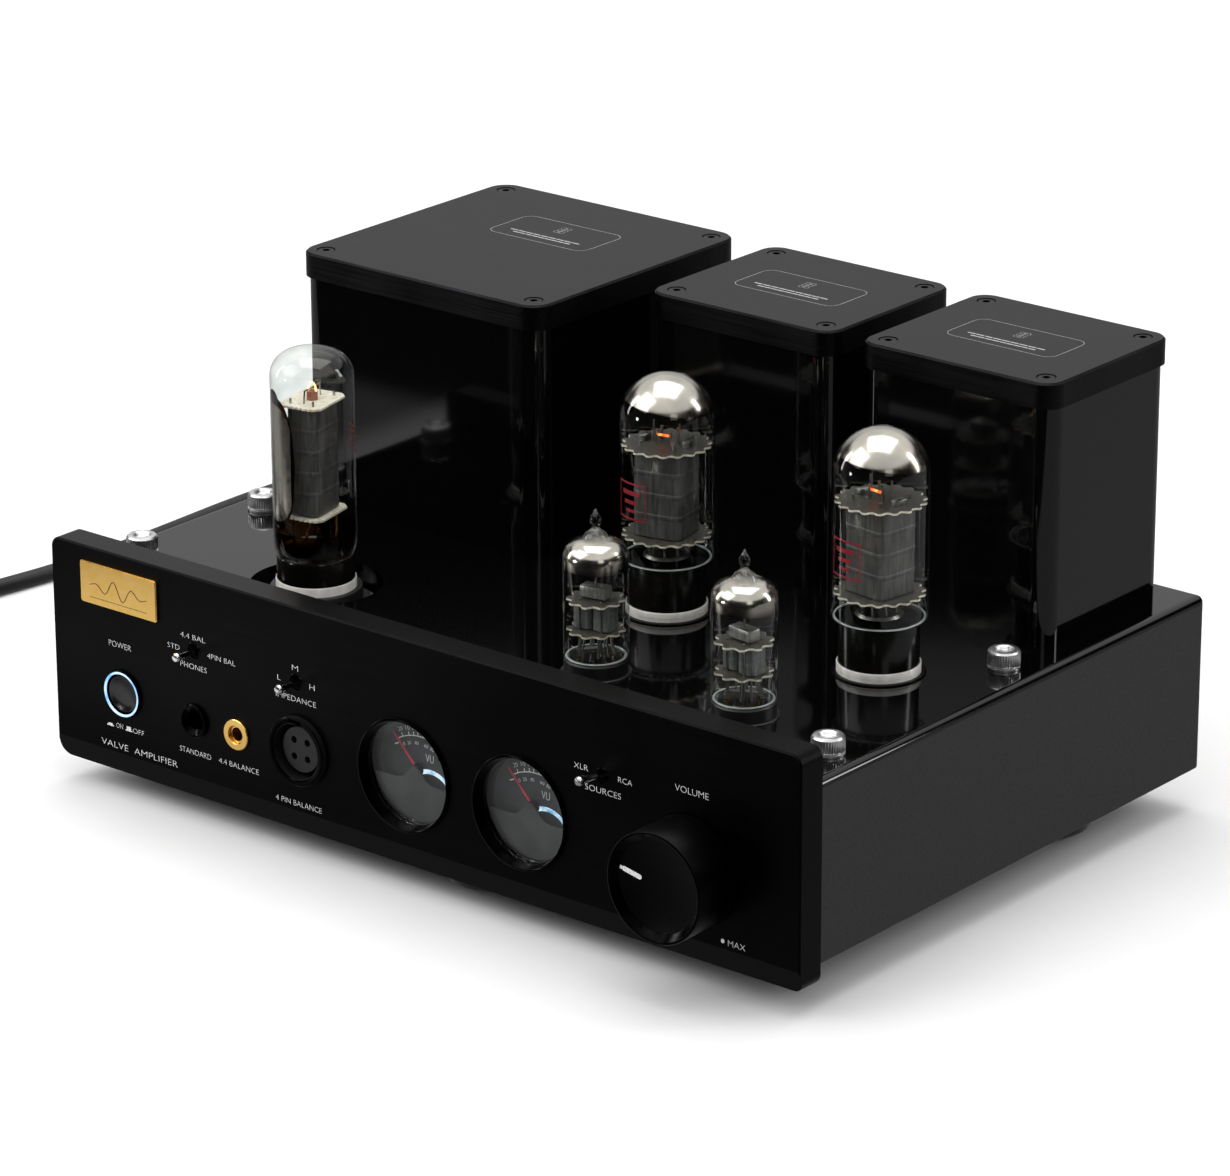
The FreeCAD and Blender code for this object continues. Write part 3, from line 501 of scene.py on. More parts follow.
# pale sprayed mica in the rectifier; on the other valves' micas it is a painted highlight along the
# cut edge
PALE_MICA_AND_EDGE_GLINT = MicaSheet("sprayed_mica_and_painted_edge_glint", dark="cfc3aa", light="f1eadb")
CATHODE = Glow("hot_cathode", dim="ff3a0a", bright="ff9a4a", power=3.0)
HOT_LOOP = Glow("hot_filament_loop", dim="ff8a1a", bright="ffd08a", power=5.0)
WARM_TUBE = Glow("warm_copper_cathode", dim="a0503a", bright="d08a6a", power=0.5)
RING_LIGHT = Glow("lit_blue_ring", dim="6cb8ff", bright="d4eeff", power=1.3, cells=0.25)
# painted light: the pool of the meter lamp's light on the dial, drawn as a glowing surface
DIAL_LAMP_GLOW = Glow("painted_lamp_light_on_dial", dim="3f94c8", bright="d8f0fb", power=1.2, cells=0.35)
INK = PrintedInk("white_screen_print")
FAINT_INK = PrintedInk("worn_white_print", dark="7c7c7c", light="b0b0b0")
DIAL_INK = PrintedInk("white_dial_print", dark="e4e4e4", light="f8f8f8")
RED_INK = PrintedInk("red_glass_print", dark="8a1222", light="b01c30")
RED_PAINT = PrintedInk("red_pointer_lacquer", dark="c01030", light="e02048")
ENGRAVED = PrintedInk("dark_engraving", dark="4a3410", light="6b4d1c")
STEEL = StackedSteel("varnished_laminations")
COPPER = WoundWire("enamelled_copper_wire")


# ================================================================ shaping
class Axis(Enum):
    """Which way a turned shape's own upward axis points."""

    UP = (0.0, 0.0, 1.0)
    FRONT = (0.0, -1.0, 0.0)
    BACK = (0.0, 1.0, 0.0)

    def frame_at(self, place: Place3) -> Matrix:
        """Puts a shape made about Z at the origin onto this axis at a place."""
        turn = Vector((0.0, 0.0, 1.0)).rotation_difference(Vector(self.value)).to_matrix()
        return Matrix.Translation(place) @ turn.to_4x4()


@dataclass(frozen=True)
class Spot:
    """The box of a CAD node at rest, in millimetres."""

    low: Vector
    high: Vector

    @classmethod
    def of(cls, node: str) -> "Spot":
        """Reads a node's box from the frame."""
        low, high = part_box(node)
        return cls(Vector(low) / MM, Vector(high) / MM)

    @property
    def middle(self) -> Vector:
        """The middle of the box."""
        return (self.low + self.high) / 2.0

    @property
    def size(self) -> Vector:
        """The box's extents."""
        return self.high - self.low


class Shape:
    """A mesh in the making, in millimetres, that bmesh operators add to."""

    CREASE = math.radians(32.0)
    THIN = -0.02                      # letters drawn in by this much, as a share of their size

    def __init__(self) -> None:
        """Starts empty."""
        self.mesh = bmesh.new()

    def take(self, part: bmesh.types.BMesh, place: Matrix, slot: int = 0,
             rim: Optional[int] = None) -> "Shape":
        """Adds a finished part at a place.

        Args:
            part: the mesh to add; it is freed.
            place: where it goes.
            slot: the material slot of its faces.
            rim: another slot for its upright faces.

        Returns:
            This shape.
        """
        bmesh.ops.transform(part, matrix=place, verts=part.verts[:])
        for face in part.faces:
            upright = rim is not None and abs(face.normal.z) < 0.5
            face.material_index = rim if upright else slot
        holder = bpy.data.meshes.new("part")
        part.to_mesh(holder)
        part.free()
        self.mesh.from_mesh(holder)
        bpy.data.meshes.remove(holder)
        return self

    def lathe(self, profile: Sequence[Point], place: Place3, axis: Axis = Axis.UP,
              steps: int = 72, ring: bool = False, slot: int = 0,
              warp: Optional[Callable[[bmesh.types.BMesh], None]] = None) -> "Shape":
        """Turns a profile of (radius, height) points about an axis.

        Args:
            profile: the outline, from the foot up on the outside.
            place: the point that heights count from.
            axis: which way up is.
            steps: segments of the full turn.
            ring: whether the outline closes on itself, as a ring's does.
            slot: material slot.
            warp: a last change to the part before it is placed.

        Returns:
            This shape.
        """
        part = bmesh.new()
        dots = [part.verts.new((r, 0.0, h)) for r, h in profile]
        pairs = list(zip(dots, dots[1:])) + ([(dots[-1], dots[0])] if ring else [])
        lines = [part.edges.new(pair) for pair in pairs]
        bmesh.ops.spin(part, geom=dots + lines, cent=(0, 0, 0), axis=(0, 0, 1), dvec=(0, 0, 0),
                       angle=2 * math.pi, steps=steps, use_merge=True, use_duplicate=False)
        bmesh.ops.remove_doubles(part, verts=part.verts[:], dist=1e-4)
        bmesh.ops.recalc_face_normals(part, faces=part.faces[:])
        if warp:
            warp(part)
        return self.take(part, axis.frame_at(place), slot)

    def rod(self, start: Sequence[float], end: Sequence[float], radius: float,
            sides: int = 12, tip: Optional[float] = None, slot: int = 0) -> "Shape":
        """A straight round rod, or a cone where tip gives its other radius."""
        first, last = Vector(start), Vector(end)
        run = last - first
        part = bmesh.new()
        bmesh.ops.create_cone(part, cap_ends=True, segments=sides, radius1=radius,
                              radius2=radius if tip is None else tip, depth=run.length)
        turn = Vector((0, 0, 1)).rotation_difference(run).to_matrix().to_4x4()
        return self.take(part, Matrix.Translation((first + last) / 2.0) @ turn, slot)

    def block(self, low: Sequence[float], high: Sequence[float], round_off: float = 0.2,
              segments: int = 2, slot: int = 0) -> "Shape":
        """A box with every edge bevelled."""
        part = bmesh.new()
        bmesh.ops.create_cube(part, size=1.0)
        a, b = Vector(low), Vector(high)
        size = b - a
        bmesh.ops.scale(part, vec=size, verts=part.verts[:])
        bmesh.ops.bevel(part, geom=part.edges[:], offset=min(round_off, 0.45 * min(size)),
                        offset_type="OFFSET", affect="EDGES", segments=segments, profile=0.5,
                        material=-1)
        return self.take(part, Matrix.Translation((a + b) / 2.0), slot)

    def ball(self, middle: Sequence[float], radius: float) -> "Shape":
        """A round bead."""
        part = bmesh.new()
        bmesh.ops.create_uvsphere(part, u_segments=20, v_segments=12, radius=radius)
        return self.take(part, Matrix.Translation(middle))

    def plate(self, outline: Sequence[Point], thick: float, place: Matrix,
              slot: int = 0) -> "Shape":
        """Extrudes a flat outline upwards by its thickness, then places it."""
        part = bmesh.new()
        face = part.faces.new([part.verts.new((x, y, 0.0)) for x, y in outline])
        grown = bmesh.ops.extrude_face_region(part, geom=[face])["geom"]
        tops = [v for v in grown if isinstance(v, bmesh.types.BMVert)]
        bmesh.ops.translate(part, vec=(0, 0, thick), verts=tops)
        bmesh.ops.recalc_face_normals(part, faces=part.faces[:])
        return self.take(part, place, slot)

    def words(self, text: str, width: float, height: float, place: Matrix,
              thick: float = 0.03, slot: int = 0) -> "Shape":
        """Lettering in the built-in face, fitted to a width and height and centred.

        Args:
            text: the letters.
            width: width in mm.
            height: height in mm.
            place: the frame that it lies in, with its own X to the right and Y up.
            thick: how far it stands up.
            slot: material slot.

        Returns:
            This shape.
        """
        curve = bpy.data.curves.new("letters", "FONT")
        curve.body, curve.extrude, curve.resolution_u = text, 0.5, 3
        curve.offset = self.THIN
        holder = bpy.data.objects.new("letters", curve)
        bpy.context.scene.collection.objects.link(holder)
        bpy.context.view_layer.update()
        graph = bpy.context.evaluated_depsgraph_get()
        solid = bpy.data.meshes.new_from_object(holder.evaluated_get(graph))
        part = bmesh.new()
        part.from_mesh(solid)
        bpy.data.objects.remove(holder)
        bpy.data.curves.remove(curve)
        bpy.data.meshes.remove(solid)
        xs, ys = [v.co.x for v in part.verts], [v.co.y for v in part.verts]
        middle = Vector(((min(xs) + max(xs)) / 2, (min(ys) + max(ys)) / 2, -0.5))
        bmesh.ops.translate(part, vec=-middle, verts=part.verts[:])
        bmesh.ops.scale(part, verts=part.verts[:],
                        vec=(width / (max(xs) - min(xs)), height / (max(ys) - min(ys)), thick))
        return self.take(part, place, slot)

    def move(self, place: Matrix) -> "Shape":
        """Moves everything made so far."""
        bmesh.ops.transform(self.mesh, matrix=place, verts=self.mesh.verts[:])
        return self

    def line(self, start: Sequence[float], end: Sequence[float], width: float,
             thick: float = 0.03) -> "Shape":
        """A printed line from one point to another on a level surface."""
        a, b = Vector(start), Vector(end)
        along = (b - a).normalized()
        across = Vector((-along.y, along.x, 0.0)) * width / 2.0
        a, b = a - along * width * 0.3, b + along * width * 0.3
        corners = [(a - across), (b - across), (b + across), (a + across)]
        return self.plate([(p.x, p.y) for p in corners], thick,
                          Matrix.Translation((0, 0, start[2])))

    def finish(self, name: str, finishes: Sequence[Finish], body: str, slot: str,
               replaces: Sequence[str] = ()) -> bpy.types.Object:
        """Turns the shape to metres and makes it a piece of the amplifier.

        Args:
            name: the piece's name.
            finishes: one for each material slot that the faces use.
            body: the CAD body that it moves with.
            slot: the record's material slot that it stands for; not used.
            replaces: CAD nodes that it stands in for.

        Returns:
            The new object.
        """
        bmesh.ops.scale(self.mesh, vec=(MM, MM, MM), verts=self.mesh.verts[:])
        for face in self.mesh.faces:
            face.smooth = True
        for edge in self.mesh.edges:
            if len(edge.link_faces) != 2 or edge.calc_face_angle(0.0) > self.CREASE:
                edge.smooth = False
        data = bpy.data.meshes.new(name)
        self.mesh.to_mesh(data)
        self.mesh.free()
        for each in finishes:
            data.materials.append(each.material())
        piece = bpy.data.objects.new(name, data)
        bpy.context.scene.collection.objects.link(piece)
        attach(piece, body)
        if replaces:
            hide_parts(*replaces)
        LOG.info("%s: %d faces, rides on %s", name, len(data.polygons), body)
        return piece


def facing_front(x: float, y: float, z: float, degrees: float = 0.0) -> Matrix:
    """A frame on a front face: its X to the right, Y up and Z towards the viewer."""
    turn = (Matrix.Rotation(math.radians(90.0), 4, "X")
            @ Matrix.Rotation(math.radians(degrees), 4, "Z"))
    return Matrix.Translation((x, y, z)) @ turn


def rounded_outline(width: float, depth: float, radius: float, steps: int = 6) -> list[Point]:
    """A rectangle's outline with round corners, centred."""
    dots = []
    for sx, sy, start in ((1, 1, 0), (-1, 1, 90), (-1, -1, 180), (1, -1, 270)):
        for k in range(steps + 1):
            angle = math.radians(start + 90.0 * k / steps)
            dots.append((sx * (width / 2 - radius) + radius * math.cos(angle),
                         sy * (depth / 2 - radius) + radius * math.sin(angle)))
    return dots


# ================================================================ mains lead
@dataclass
class MainsLead:
    """The lead from the rear inlet round the left side, its coil of spare, and its plug."""

    radius: float = 3.0
    exit: Place3 = (-118.0, 172.0, 43.0)
    route: tuple[Place3, ...] = (
        (-118.0, 170.0, 43.0), (-118.4, 196.0, 41.5), (-121.5, 221.0, 32.5),
        (-131.0, 243.0, 18.5), (-149.5, 260.5, 7.5), (-175.5, 270.0, 3.4), (-206.0, 271.5, 3.2),
        (-236.0, 264.0, 3.2), (-263.0, 248.5, 3.2), (-284.5, 226.0, 3.2), (-298.5, 197.5, 3.2),
        (-305.0, 166.0, 3.2), (-306.6, 132.0, 3.2), (-305.4, 98.0, 3.2), (-304.6, 64.0, 3.2),
        (-307.0, 31.0, 3.2), (-312.0, 1.0, 3.2), (-315.6, -26.0, 3.2), (-316.0, -48.0, 3.2))
    tail: tuple[Place3, ...] = (
        (-352.0, -81.0, 14.8), (-374.0, -83.0, 13.4), (-393.5, -79.5, 7.6),
        (-409.5, -69.0, 3.9), (-418.5, -51.0, 4.9), (-421.0, -31.5, 9.5))
    coil_middle: Point = (-352.0, -48.0)
    # turns from the start of the coil, then its radius and height from there on
    coil_path: tuple[Place3, ...] = (
        (0.0, 36.0, 3.2), (0.68, 36.0, 3.2), (0.95, 30.0, 3.2), (1.45, 30.0, 3.2),
        (1.7, 30.0, 9.1), (2.2, 30.0, 9.1), (2.45, 36.0, 9.1), (2.95, 36.0, 9.1),
        (3.2, 33.2, 14.8), (4.25, 33.0, 14.8))
    per_turn: int = 16

    def coil_points(self) -> list[Place3]:
        """The coil's turns, clockwise from above, starting on its east side."""
        x0, y0 = self.coil_middle
        dots = []
        for k in range(1, int(self.coil_path[-1][0] * self.per_turn)):
            turn = k / self.per_turn
            for (t0, r0, z0), (t1, r1, z1) in zip(self.coil_path, self.coil_path[1:]):
                if t0 <= turn <= t1:
                    share = (turn - t0) / (t1 - t0)
                    radius, height = r0 + (r1 - r0) * share, z0 + (z1 - z0) * share
            angle = -2.0 * math.pi * turn
            dots.append((x0 + radius * math.cos(angle), y0 + radius * math.sin(angle), height))
        return dots

    def cord(self) -> bpy.types.Object:
        """One smooth line through the route, the coil and the tail."""
        dots = [*self.route, *self.coil_points(), *self.tail]
        data = bpy.data.curves.new("mains_cord", "CURVE")
        data.dimensions, data.bevel_depth, data.bevel_resolution = "3D", self.radius * MM, 4
        data.resolution_u, data.use_fill_caps = 6, True
        line = data.splines.new("NURBS")
        line.points.add(len(dots) - 1)
        for point, dot in zip(line.points, dots):
            point.co = (*(c * MM for c in dot), 1.0)
        line.order_u, line.use_endpoint_u = 3, True
        data.materials.append(PVC.material())
        piece = bpy.data.objects.new("mains_cord", data)
        bpy.context.scene.collection.objects.link(piece)
        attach(piece, "chassis")
        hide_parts("mains_lead", "lead_coil")
        return piece

    def relief_ribs(self) -> bpy.types.Object:
        """Ribbed strain relief over the connector's cone, with its collar."""
        end = Spot.of("iec_connector").high.y
        ribs = Shape()
        x, _, z = self.exit
        count, pitch = 6, 4.2
        for k in range(count):
            y = end - 2.2 - k * pitch
            reach = 4.8 + 0.45 * k
            ribs.lathe([(reach - 0.9, -1.3), (reach, -0.9), (reach, 0.9), (reach - 0.9, 1.3)],
                       (x, y, z), Axis.BACK, steps=32, ring=True)
        return ribs.finish("connector_relief_ribs", [PVC], "chassis", "cord_plastic")

    def plug_ribs(self) -> bpy.types.Object:
        """Ribs on the plug's relief and finger ridges on its sides."""
        spot = Spot.of("mains_plug")
        x, z = spot.middle.x, spot.middle.z
        ribs = Shape()
        for k in range(4):
            y = spot.low.y + 2.4 + k * 4.4
            reach = 4.9 + 0.5 * k
            ribs.lathe([(reach - 0.9, -1.3), (reach, -0.9), (reach, 0.9), (reach - 0.9, 1.3)],
                       (x, y, z), Axis.BACK, steps=32, ring=True)
        body_y = spot.low.y + 28.0
        for side in (-1, 1):
            for k in range(5):
                y = body_y + k * 3.4
                edge = x + side * spot.size.x / 2.0
                inset = edge - side * 0.5
                ribs.block((inset - 0.5, y, z - 6.0), (inset + 0.5, y + 1.5, z + 6.0), 0.4)
        return ribs.finish("plug_grip_ribs", [PVC], "chassis", "cord_plastic")

    def build(self) -> None:
        """Makes the cord and what is on it."""
        cord = self.cord()
        extras = [self.relief_ribs(), self.plug_ribs()]


# ================================================================ stage
@dataclass
class Studio:
    """A pale floor under a bright ceiling, with soft lights; metres and watts."""

    ceiling: float = 0.90              # radiance of the white above
    backdrop: float = 0.62             # of the white card behind and to the left
    dusk: float = 0.012                # of everything else near the horizon
    # radiance that gloss sees in the floor: out in front, by the amplifier, added by the patch
    floor_glints: Place3 = (0.01, 0.28, 0.60)
    patch_x: Point = (-330.0, -110.0)  # mm, the bright patch at the front left
    patch_y: Point = (-305.0, -170.0)

    def build(self) -> None:
        """Adds the floor, the world and the softboxes."""
        bpy.context.scene.view_settings.view_transform = "Standard"
        self.lay_floor()
        self.set_world()
        self.softbox("top_softbox", (-0.1, 0.2, 2.2), (0.0, 0.0, 0.05), 1.8, 1.8, 26.0)
        self.softbox("left_strip", (-1.3, -0.55, 0.55), (0.0, 0.0, 0.12), 0.16, 1.0, 4.0)
        self.softbox("right_strip", (1.1, 0.9, 0.6), (0.05, 0.0, 0.1), 0.2, 1.0, 5.0)
        self.softbox("low_kicker", (-0.75, -1.1, 0.16), (0.0, -0.11, 0.04), 0.12, 0.12, 1.4)
        self.softbox("window", (1.42, -0.92, 0.66), (0.05, 0.0, 0.12), 0.50, 0.50, 0.9)
        self.softbox("high_front_left", (-0.76, -1.07, 1.22), (0.0, 0.0, 0.1), 1.2, 1.2, 9.0)

    def lay_floor(self) -> None:
        """A big sheet of white paper; black gloss mirrors it only close to the amplifier."""
        part = bmesh.new()
        bmesh.ops.create_grid(part, x_segments=1, y_segments=1, size=12.0)
        data = bpy.data.meshes.new("studio_floor")
        part.to_mesh(data)
        part.free()
        paint = bpy.data.materials.new("studio_paper")
        paint.use_nodes = True
        tree = paint.node_tree
        tree.nodes.clear()
        grain = noise(tree, 0.02, 2.0)
        lit = add(tree, "ShaderNodeBsdfDiffuse", None,
                  Color=ramp(tree, grain, ((0.3, "ececec"), (0.7, "efefef"))))
        at = add(tree, "ShaderNodeSeparateXYZ", None, Vector=mm_coords(tree)).outputs

        def step(axis: str, start: float, end: float, low: float, high: float) -> object:
            """Rises or falls from low to high between two places on an axis, in mm."""
            return add(tree, "ShaderNodeMapRange", {"From Min": start, "From Max": end,
                                                    "To Min": low, "To Max": high},
                       Value=at[axis]).outputs["Result"]

        def times(one: object, other: object) -> object:
            """Two value sockets multiplied."""
            return add(tree, "ShaderNodeMath", {"operation": "MULTIPLY"}, i0=one,
                       i1=other).outputs[0]

        far, near, extra = self.floor_glints
        (left, right), (front, rear) = self.patch_x, self.patch_y
        patch = times(times(step("Y", front - 5.0, front + 5.0, 0.0, 1.0),
                            step("Y", rear - 10.0, rear + 10.0, 1.0, 0.0)),
                      times(step("X", left - 10.0, left + 10.0, 0.0, 1.0),
                            step("X", right - 10.0, right + 10.0, 1.0, 0.0)))
        glow = add(tree, "ShaderNodeMath", {"operation": "MULTIPLY_ADD", 1: extra}, i0=patch,
                   i2=step("Y", -300.0, -280.0, far, near)).outputs[0]
        mirrored = add(tree, "ShaderNodeEmission", {"Color": srgb("ffffff")}, Strength=glow)
        ray = add(tree, "ShaderNodeLightPath").outputs["Is Glossy Ray"]
        shade = add(tree, "ShaderNodeMixShader", None, i0=ray, i1=lit.outputs[0],
                    i2=mirrored.outputs[0])
        add(tree, "ShaderNodeOutputMaterial", None, Surface=shade.outputs[0])
        data.materials.append(paint)
        floor = bpy.data.objects.new("studio_floor", data)
        bpy.context.scene.collection.objects.link(floor)

    def set_world(self) -> None:
        """A white ceiling, a card behind and left, and near dark round the horizon."""
        world = bpy.data.worlds.new("studio")
        bpy.context.scene.world = world
        world.use_nodes = True
        tree = world.node_tree
        tree.nodes.clear()
        way = add(tree, "ShaderNodeTexCoord").outputs["Generated"]
        rise = add(tree, "ShaderNodeSeparateXYZ", None, Vector=way).outputs["Z"]
        toward = add(tree, "ShaderNodeVectorMath",
                     {"operation": "DOT_PRODUCT", 1: (-0.61, 0.74, 0.28)}, i0=way).outputs["Value"]
        card = add(tree, "ShaderNodeMapRange", {"From Min": 0.78, "From Max": 0.93,
                                                "To Min": self.dusk, "To Max": self.backdrop},
                   Value=toward)
        above = add(tree, "ShaderNodeMapRange", {"From Min": 0.42, "From Max": 0.52,
                                                 "To Min": 0.0, "To Max": self.ceiling}, Value=rise)
        both = add(tree, "ShaderNodeMath", {"operation": "MAXIMUM"}, i0=card.outputs["Result"],
                   i1=above.outputs["Result"])
        light = add(tree, "ShaderNodeBackground", {"Color": srgb("ffffff")},
                    Strength=both.outputs[0])
        seen = add(tree, "ShaderNodeBackground", {"Color": srgb("f1f1f1"), "Strength": 1.0})
        ray = add(tree, "ShaderNodeLightPath").outputs["Is Camera Ray"]
        mixed = add(tree, "ShaderNodeMixShader", None, i0=ray, i1=light.outputs[0],
                    i2=seen.outputs[0])
        add(tree, "ShaderNodeOutputWorld", None, Surface=mixed.outputs[0])

    def softbox(self, name: str, place: Place3, aim: Place3, width: float, height: float,
                power: float) -> None:
        """A rectangular soft light at a place, turned to its aim."""
        data = bpy.data.lights.new(name, "AREA")
        data.shape, data.size, data.size_y, data.energy = "RECTANGLE", width, height, power
        light = bpy.data.objects.new(name, data)
        turn = (Vector(aim) - Vector(place)).to_track_quat("-Z", "Y")
        light.matrix_world = Matrix.Translation(place) @ turn.to_matrix().to_4x4()
        bpy.context.scene.collection.objects.link(light)


# ================================================================ chassis
@dataclass
class Chassis:
    """Panel, deck, sheets, feet and fasteners; their CAD nodes keep their shape."""

    finishes: dict[str, Finish] = field(default_factory=lambda: {
        "front_panel": PANEL, "top_deck": LACQUER, "side_left": POWDER, "side_right": POWDER,
        "rear_panel": POWDER, "bottom_cover": POWDER, "cap_screws": OXIDE, "main_board": BOARD,
        "panel_switches": ABS, "potentiometer": ABS, "transformer_cores": STEEL,
        "transformer_windings": COPPER, "iec_inlet": ABS, "iec_connector": PVC,
        "mains_plug": PVC, "input_sockets": GOLD, "power_cover": LACQUER,
        "output_left_cover": LACQUER, "output_right_cover": LACQUER, "power_cap": CAP,
        "output_left_cap": CAP, "output_right_cap": CAP, "meter_glasses": WINDOW,
        "meter_dials": DIAL, "xlr_socket": ABS})

    def dress_nodes(self) -> None:
        """Gives the CAD nodes that stay in view their finishes."""
        for node, finish in self.finishes.items():
            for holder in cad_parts[node].material_slots:
                holder.material = finish.material()

    def feet(self) -> None:
        """Turned feet with a rubber tread, a polished rim and a neck."""
        for which in ("front", "rear_left", "rear_right"):
            spot = Spot.of("foot_" + which)
            x, y, r, top = spot.middle.x, spot.middle.y, spot.size.x / 2.0, spot.high.z
            foot = Shape()
            foot.lathe([(0, 0), (15.0, 0), (15.9, 0.3), (16.5, 1.0), (16.5, 2.1), (0, 2.1)],
                       (x, y, 0), slot=1)
            foot.lathe([(0, 2.1), (19.0, 2.1), (19.7, 2.4), (r, 3.0), (r, 4.6), (19.6, 4.9),
                        (19.6, 5.5), (r, 5.8), (r, 8.4), (19.6, 9.2), (18.6, 11.2), (17.8, 11.7),
                        (13.0, 12.4), (13.0, top), (0, top)], (x, y, 0), steps=96)
            foot.finish("turned_foot_" + which, [FOOT, ABS], "chassis", "foot", ["foot_" + which])

    def thumb_nuts(self) -> None:
        """Knurled thumb nuts with a dimpled top, and the washer under each."""
        flutes = 40
        deck = Spot.of("top_deck").high.z
        high = Spot.of("thumb_nuts").high.z
        nuts = Shape()

        def knurl(part: bmesh.types.BMesh) -> None:
            """Pulls every other column of the waist in, for the flutes."""
            for vert in part.verts:
                reach = math.hypot(vert.co.x, vert.co.y)
                column = round(math.atan2(vert.co.y, vert.co.x) / (math.pi / flutes))
                if reach > 5.3 and 1.4 < vert.co.z < 5.6 and column % 2:
                    vert.co.x *= 0.955
                    vert.co.y *= 0.955

        top = high - deck
        for x, y in ((-149.5, -81.0), (149.0, -81.0), (-147.5, -21.5), (147.8, 15.5)):
            nuts.lathe([(0, 0), (5.4, 0), (5.5, 0.15), (5.5, 0.8), (4.7, 1.0), (4.7, 1.3),
                        (5.35, 1.45), (5.5, 1.7), (5.5, 5.3), (5.35, top - 0.7), (4.9, top - 0.15),
                        (4.4, top), (3.4, top), (3.0, top - 0.25), (2.4, top - 1.1),
                        (0, top - 1.2)], (x, y, deck), steps=2 * flutes, warp=knurl)
        nuts.finish("knurled_thumb_nuts", [NUT], "chassis", "chrome", ["thumb_nuts"])

    def badge(self) -> None:
        """A gold plate with a beaded rim and an engraved wave, in place of any name."""
        spot = Spot.of("name_badge")
        middle, size = spot.middle, spot.size
        face = spot.low.y
        plate = Shape()
        outline = rounded_outline(size.x, size.z, 1.0)
        plate.plate(outline, size.y - 0.25, facing_front(middle.x, spot.high.y, middle.z))
        inner = rounded_outline(size.x - 0.7, size.z - 0.7, 0.8)
        plate.plate(inner, 0.24, facing_front(middle.x, face + 0.25, middle.z))
        dots = 44
        width = size.x - 9.0
        wave = [(middle.x - width / 2 + width * k / dots, face + 0.02,
                 middle.z - 0.6 + 3.4 * math.exp(-(k / dots - 0.5) ** 2 * 9.0)
                 * math.sin(6.0 * math.pi * k / dots)) for k in range(dots + 1)]
        for start, end in zip(wave, wave[1:]):
            plate.rod(start, end, 0.17, sides=6, slot=1)
        plate.rod((middle.x - width / 2, face + 0.02, middle.z - 5.0),
                  (middle.x + width / 2, face + 0.02, middle.z - 5.0), 0.12, sides=6, slot=1)
        plate.finish("gold_badge", [GOLD, ENGRAVED], "chassis", "gold_plate", ["name_badge"])

    def build(self) -> None:
        """Builds and dresses the chassis."""
        self.dress_nodes()
        self.feet()
        self.thumb_nuts()
        self.badge()


# ================================================================ printing
@dataclass(frozen=True)
class Label:
    """A generic function word on the panel: its middle, width and height in mm."""

    text: str
    x: float
    z: float
    width: float
    height: float = 2.1


@dataclass
class PanelPrint:
    """White screen print on the front panel."""

    thick: float = 0.03
    labels: tuple[Label, ...] = (
        Label("POWER", -130.8, 57.0, 10.5), Label("ON", -132.3, 27.1, 3.2, 1.8),
        Label("OFF", -123.3, 27.0, 5.2, 1.8), Label("VALVE  AMPLIFIER", -123.2, 19.6, 36.0, 2.2),
        Label("STANDARD", -96.5, 26.2, 14.6, 1.9), Label("4.4 BALANCE", -76.4, 26.3, 18.4, 1.9),
        Label("4 PIN BALANCE", -49.2, 19.6, 20.8, 1.9), Label("4.4 BAL", -96.2, 68.2, 11.4, 1.8),
        Label("STD", -105.3, 62.9, 5.6, 1.8), Label("4PIN BAL", -83.2, 63.2, 12.8, 1.8),
        Label("PHONES", -96.2, 57.5, 12.2, 1.9), Label("M", -49.5, 68.3, 2.7, 1.9),
        Label("L", -56.8, 63.3, 1.5, 1.9), Label("H", -42.0, 63.2, 2.3, 1.9),
        Label("IMPEDANCE", -49.4, 57.2, 18.0, 1.9), Label("XLR", 74.0, 64.4, 5.8, 1.9),
        Label("RCA", 92.2, 63.8, 5.7, 1.9), Label("SOURCES", 83.1, 58.1, 14.8, 2.0),
        Label("VOLUME", 119.3, 67.2, 13.6, 2.2), Label("MAX", 137.5, 19.5, 6.9, 2.0))

    def build(self) -> None:
        """Builds the words, the two button symbols and the dot at full volume."""
        face = Spot.of("front_panel").low.y - 0.005
        ink = Shape()
        for each in self.labels:
            ink.words(each.text, each.width, each.height, facing_front(each.x, face, each.z),
                      self.thick)
        for x, tall in ((-136.6, 1.0), (-127.9, 1.7)):
            at = facing_front(x, face, 26.2)
            ink.plate([(-1.6, 0), (1.6, 0), (1.6, 0.4), (1.0, 0.4), (1.0, tall), (-1.0, tall),
                       (-1.0, 0.4), (-1.6, 0.4)], self.thick, at)
        ink.lathe([(0, 0), (0.75, 0), (0.75, self.thick), (0, self.thick)],
                  (131.9, face, 19.6), Axis.FRONT, steps=24)
        ink.finish("panel_print", [INK], "chassis", "panel")


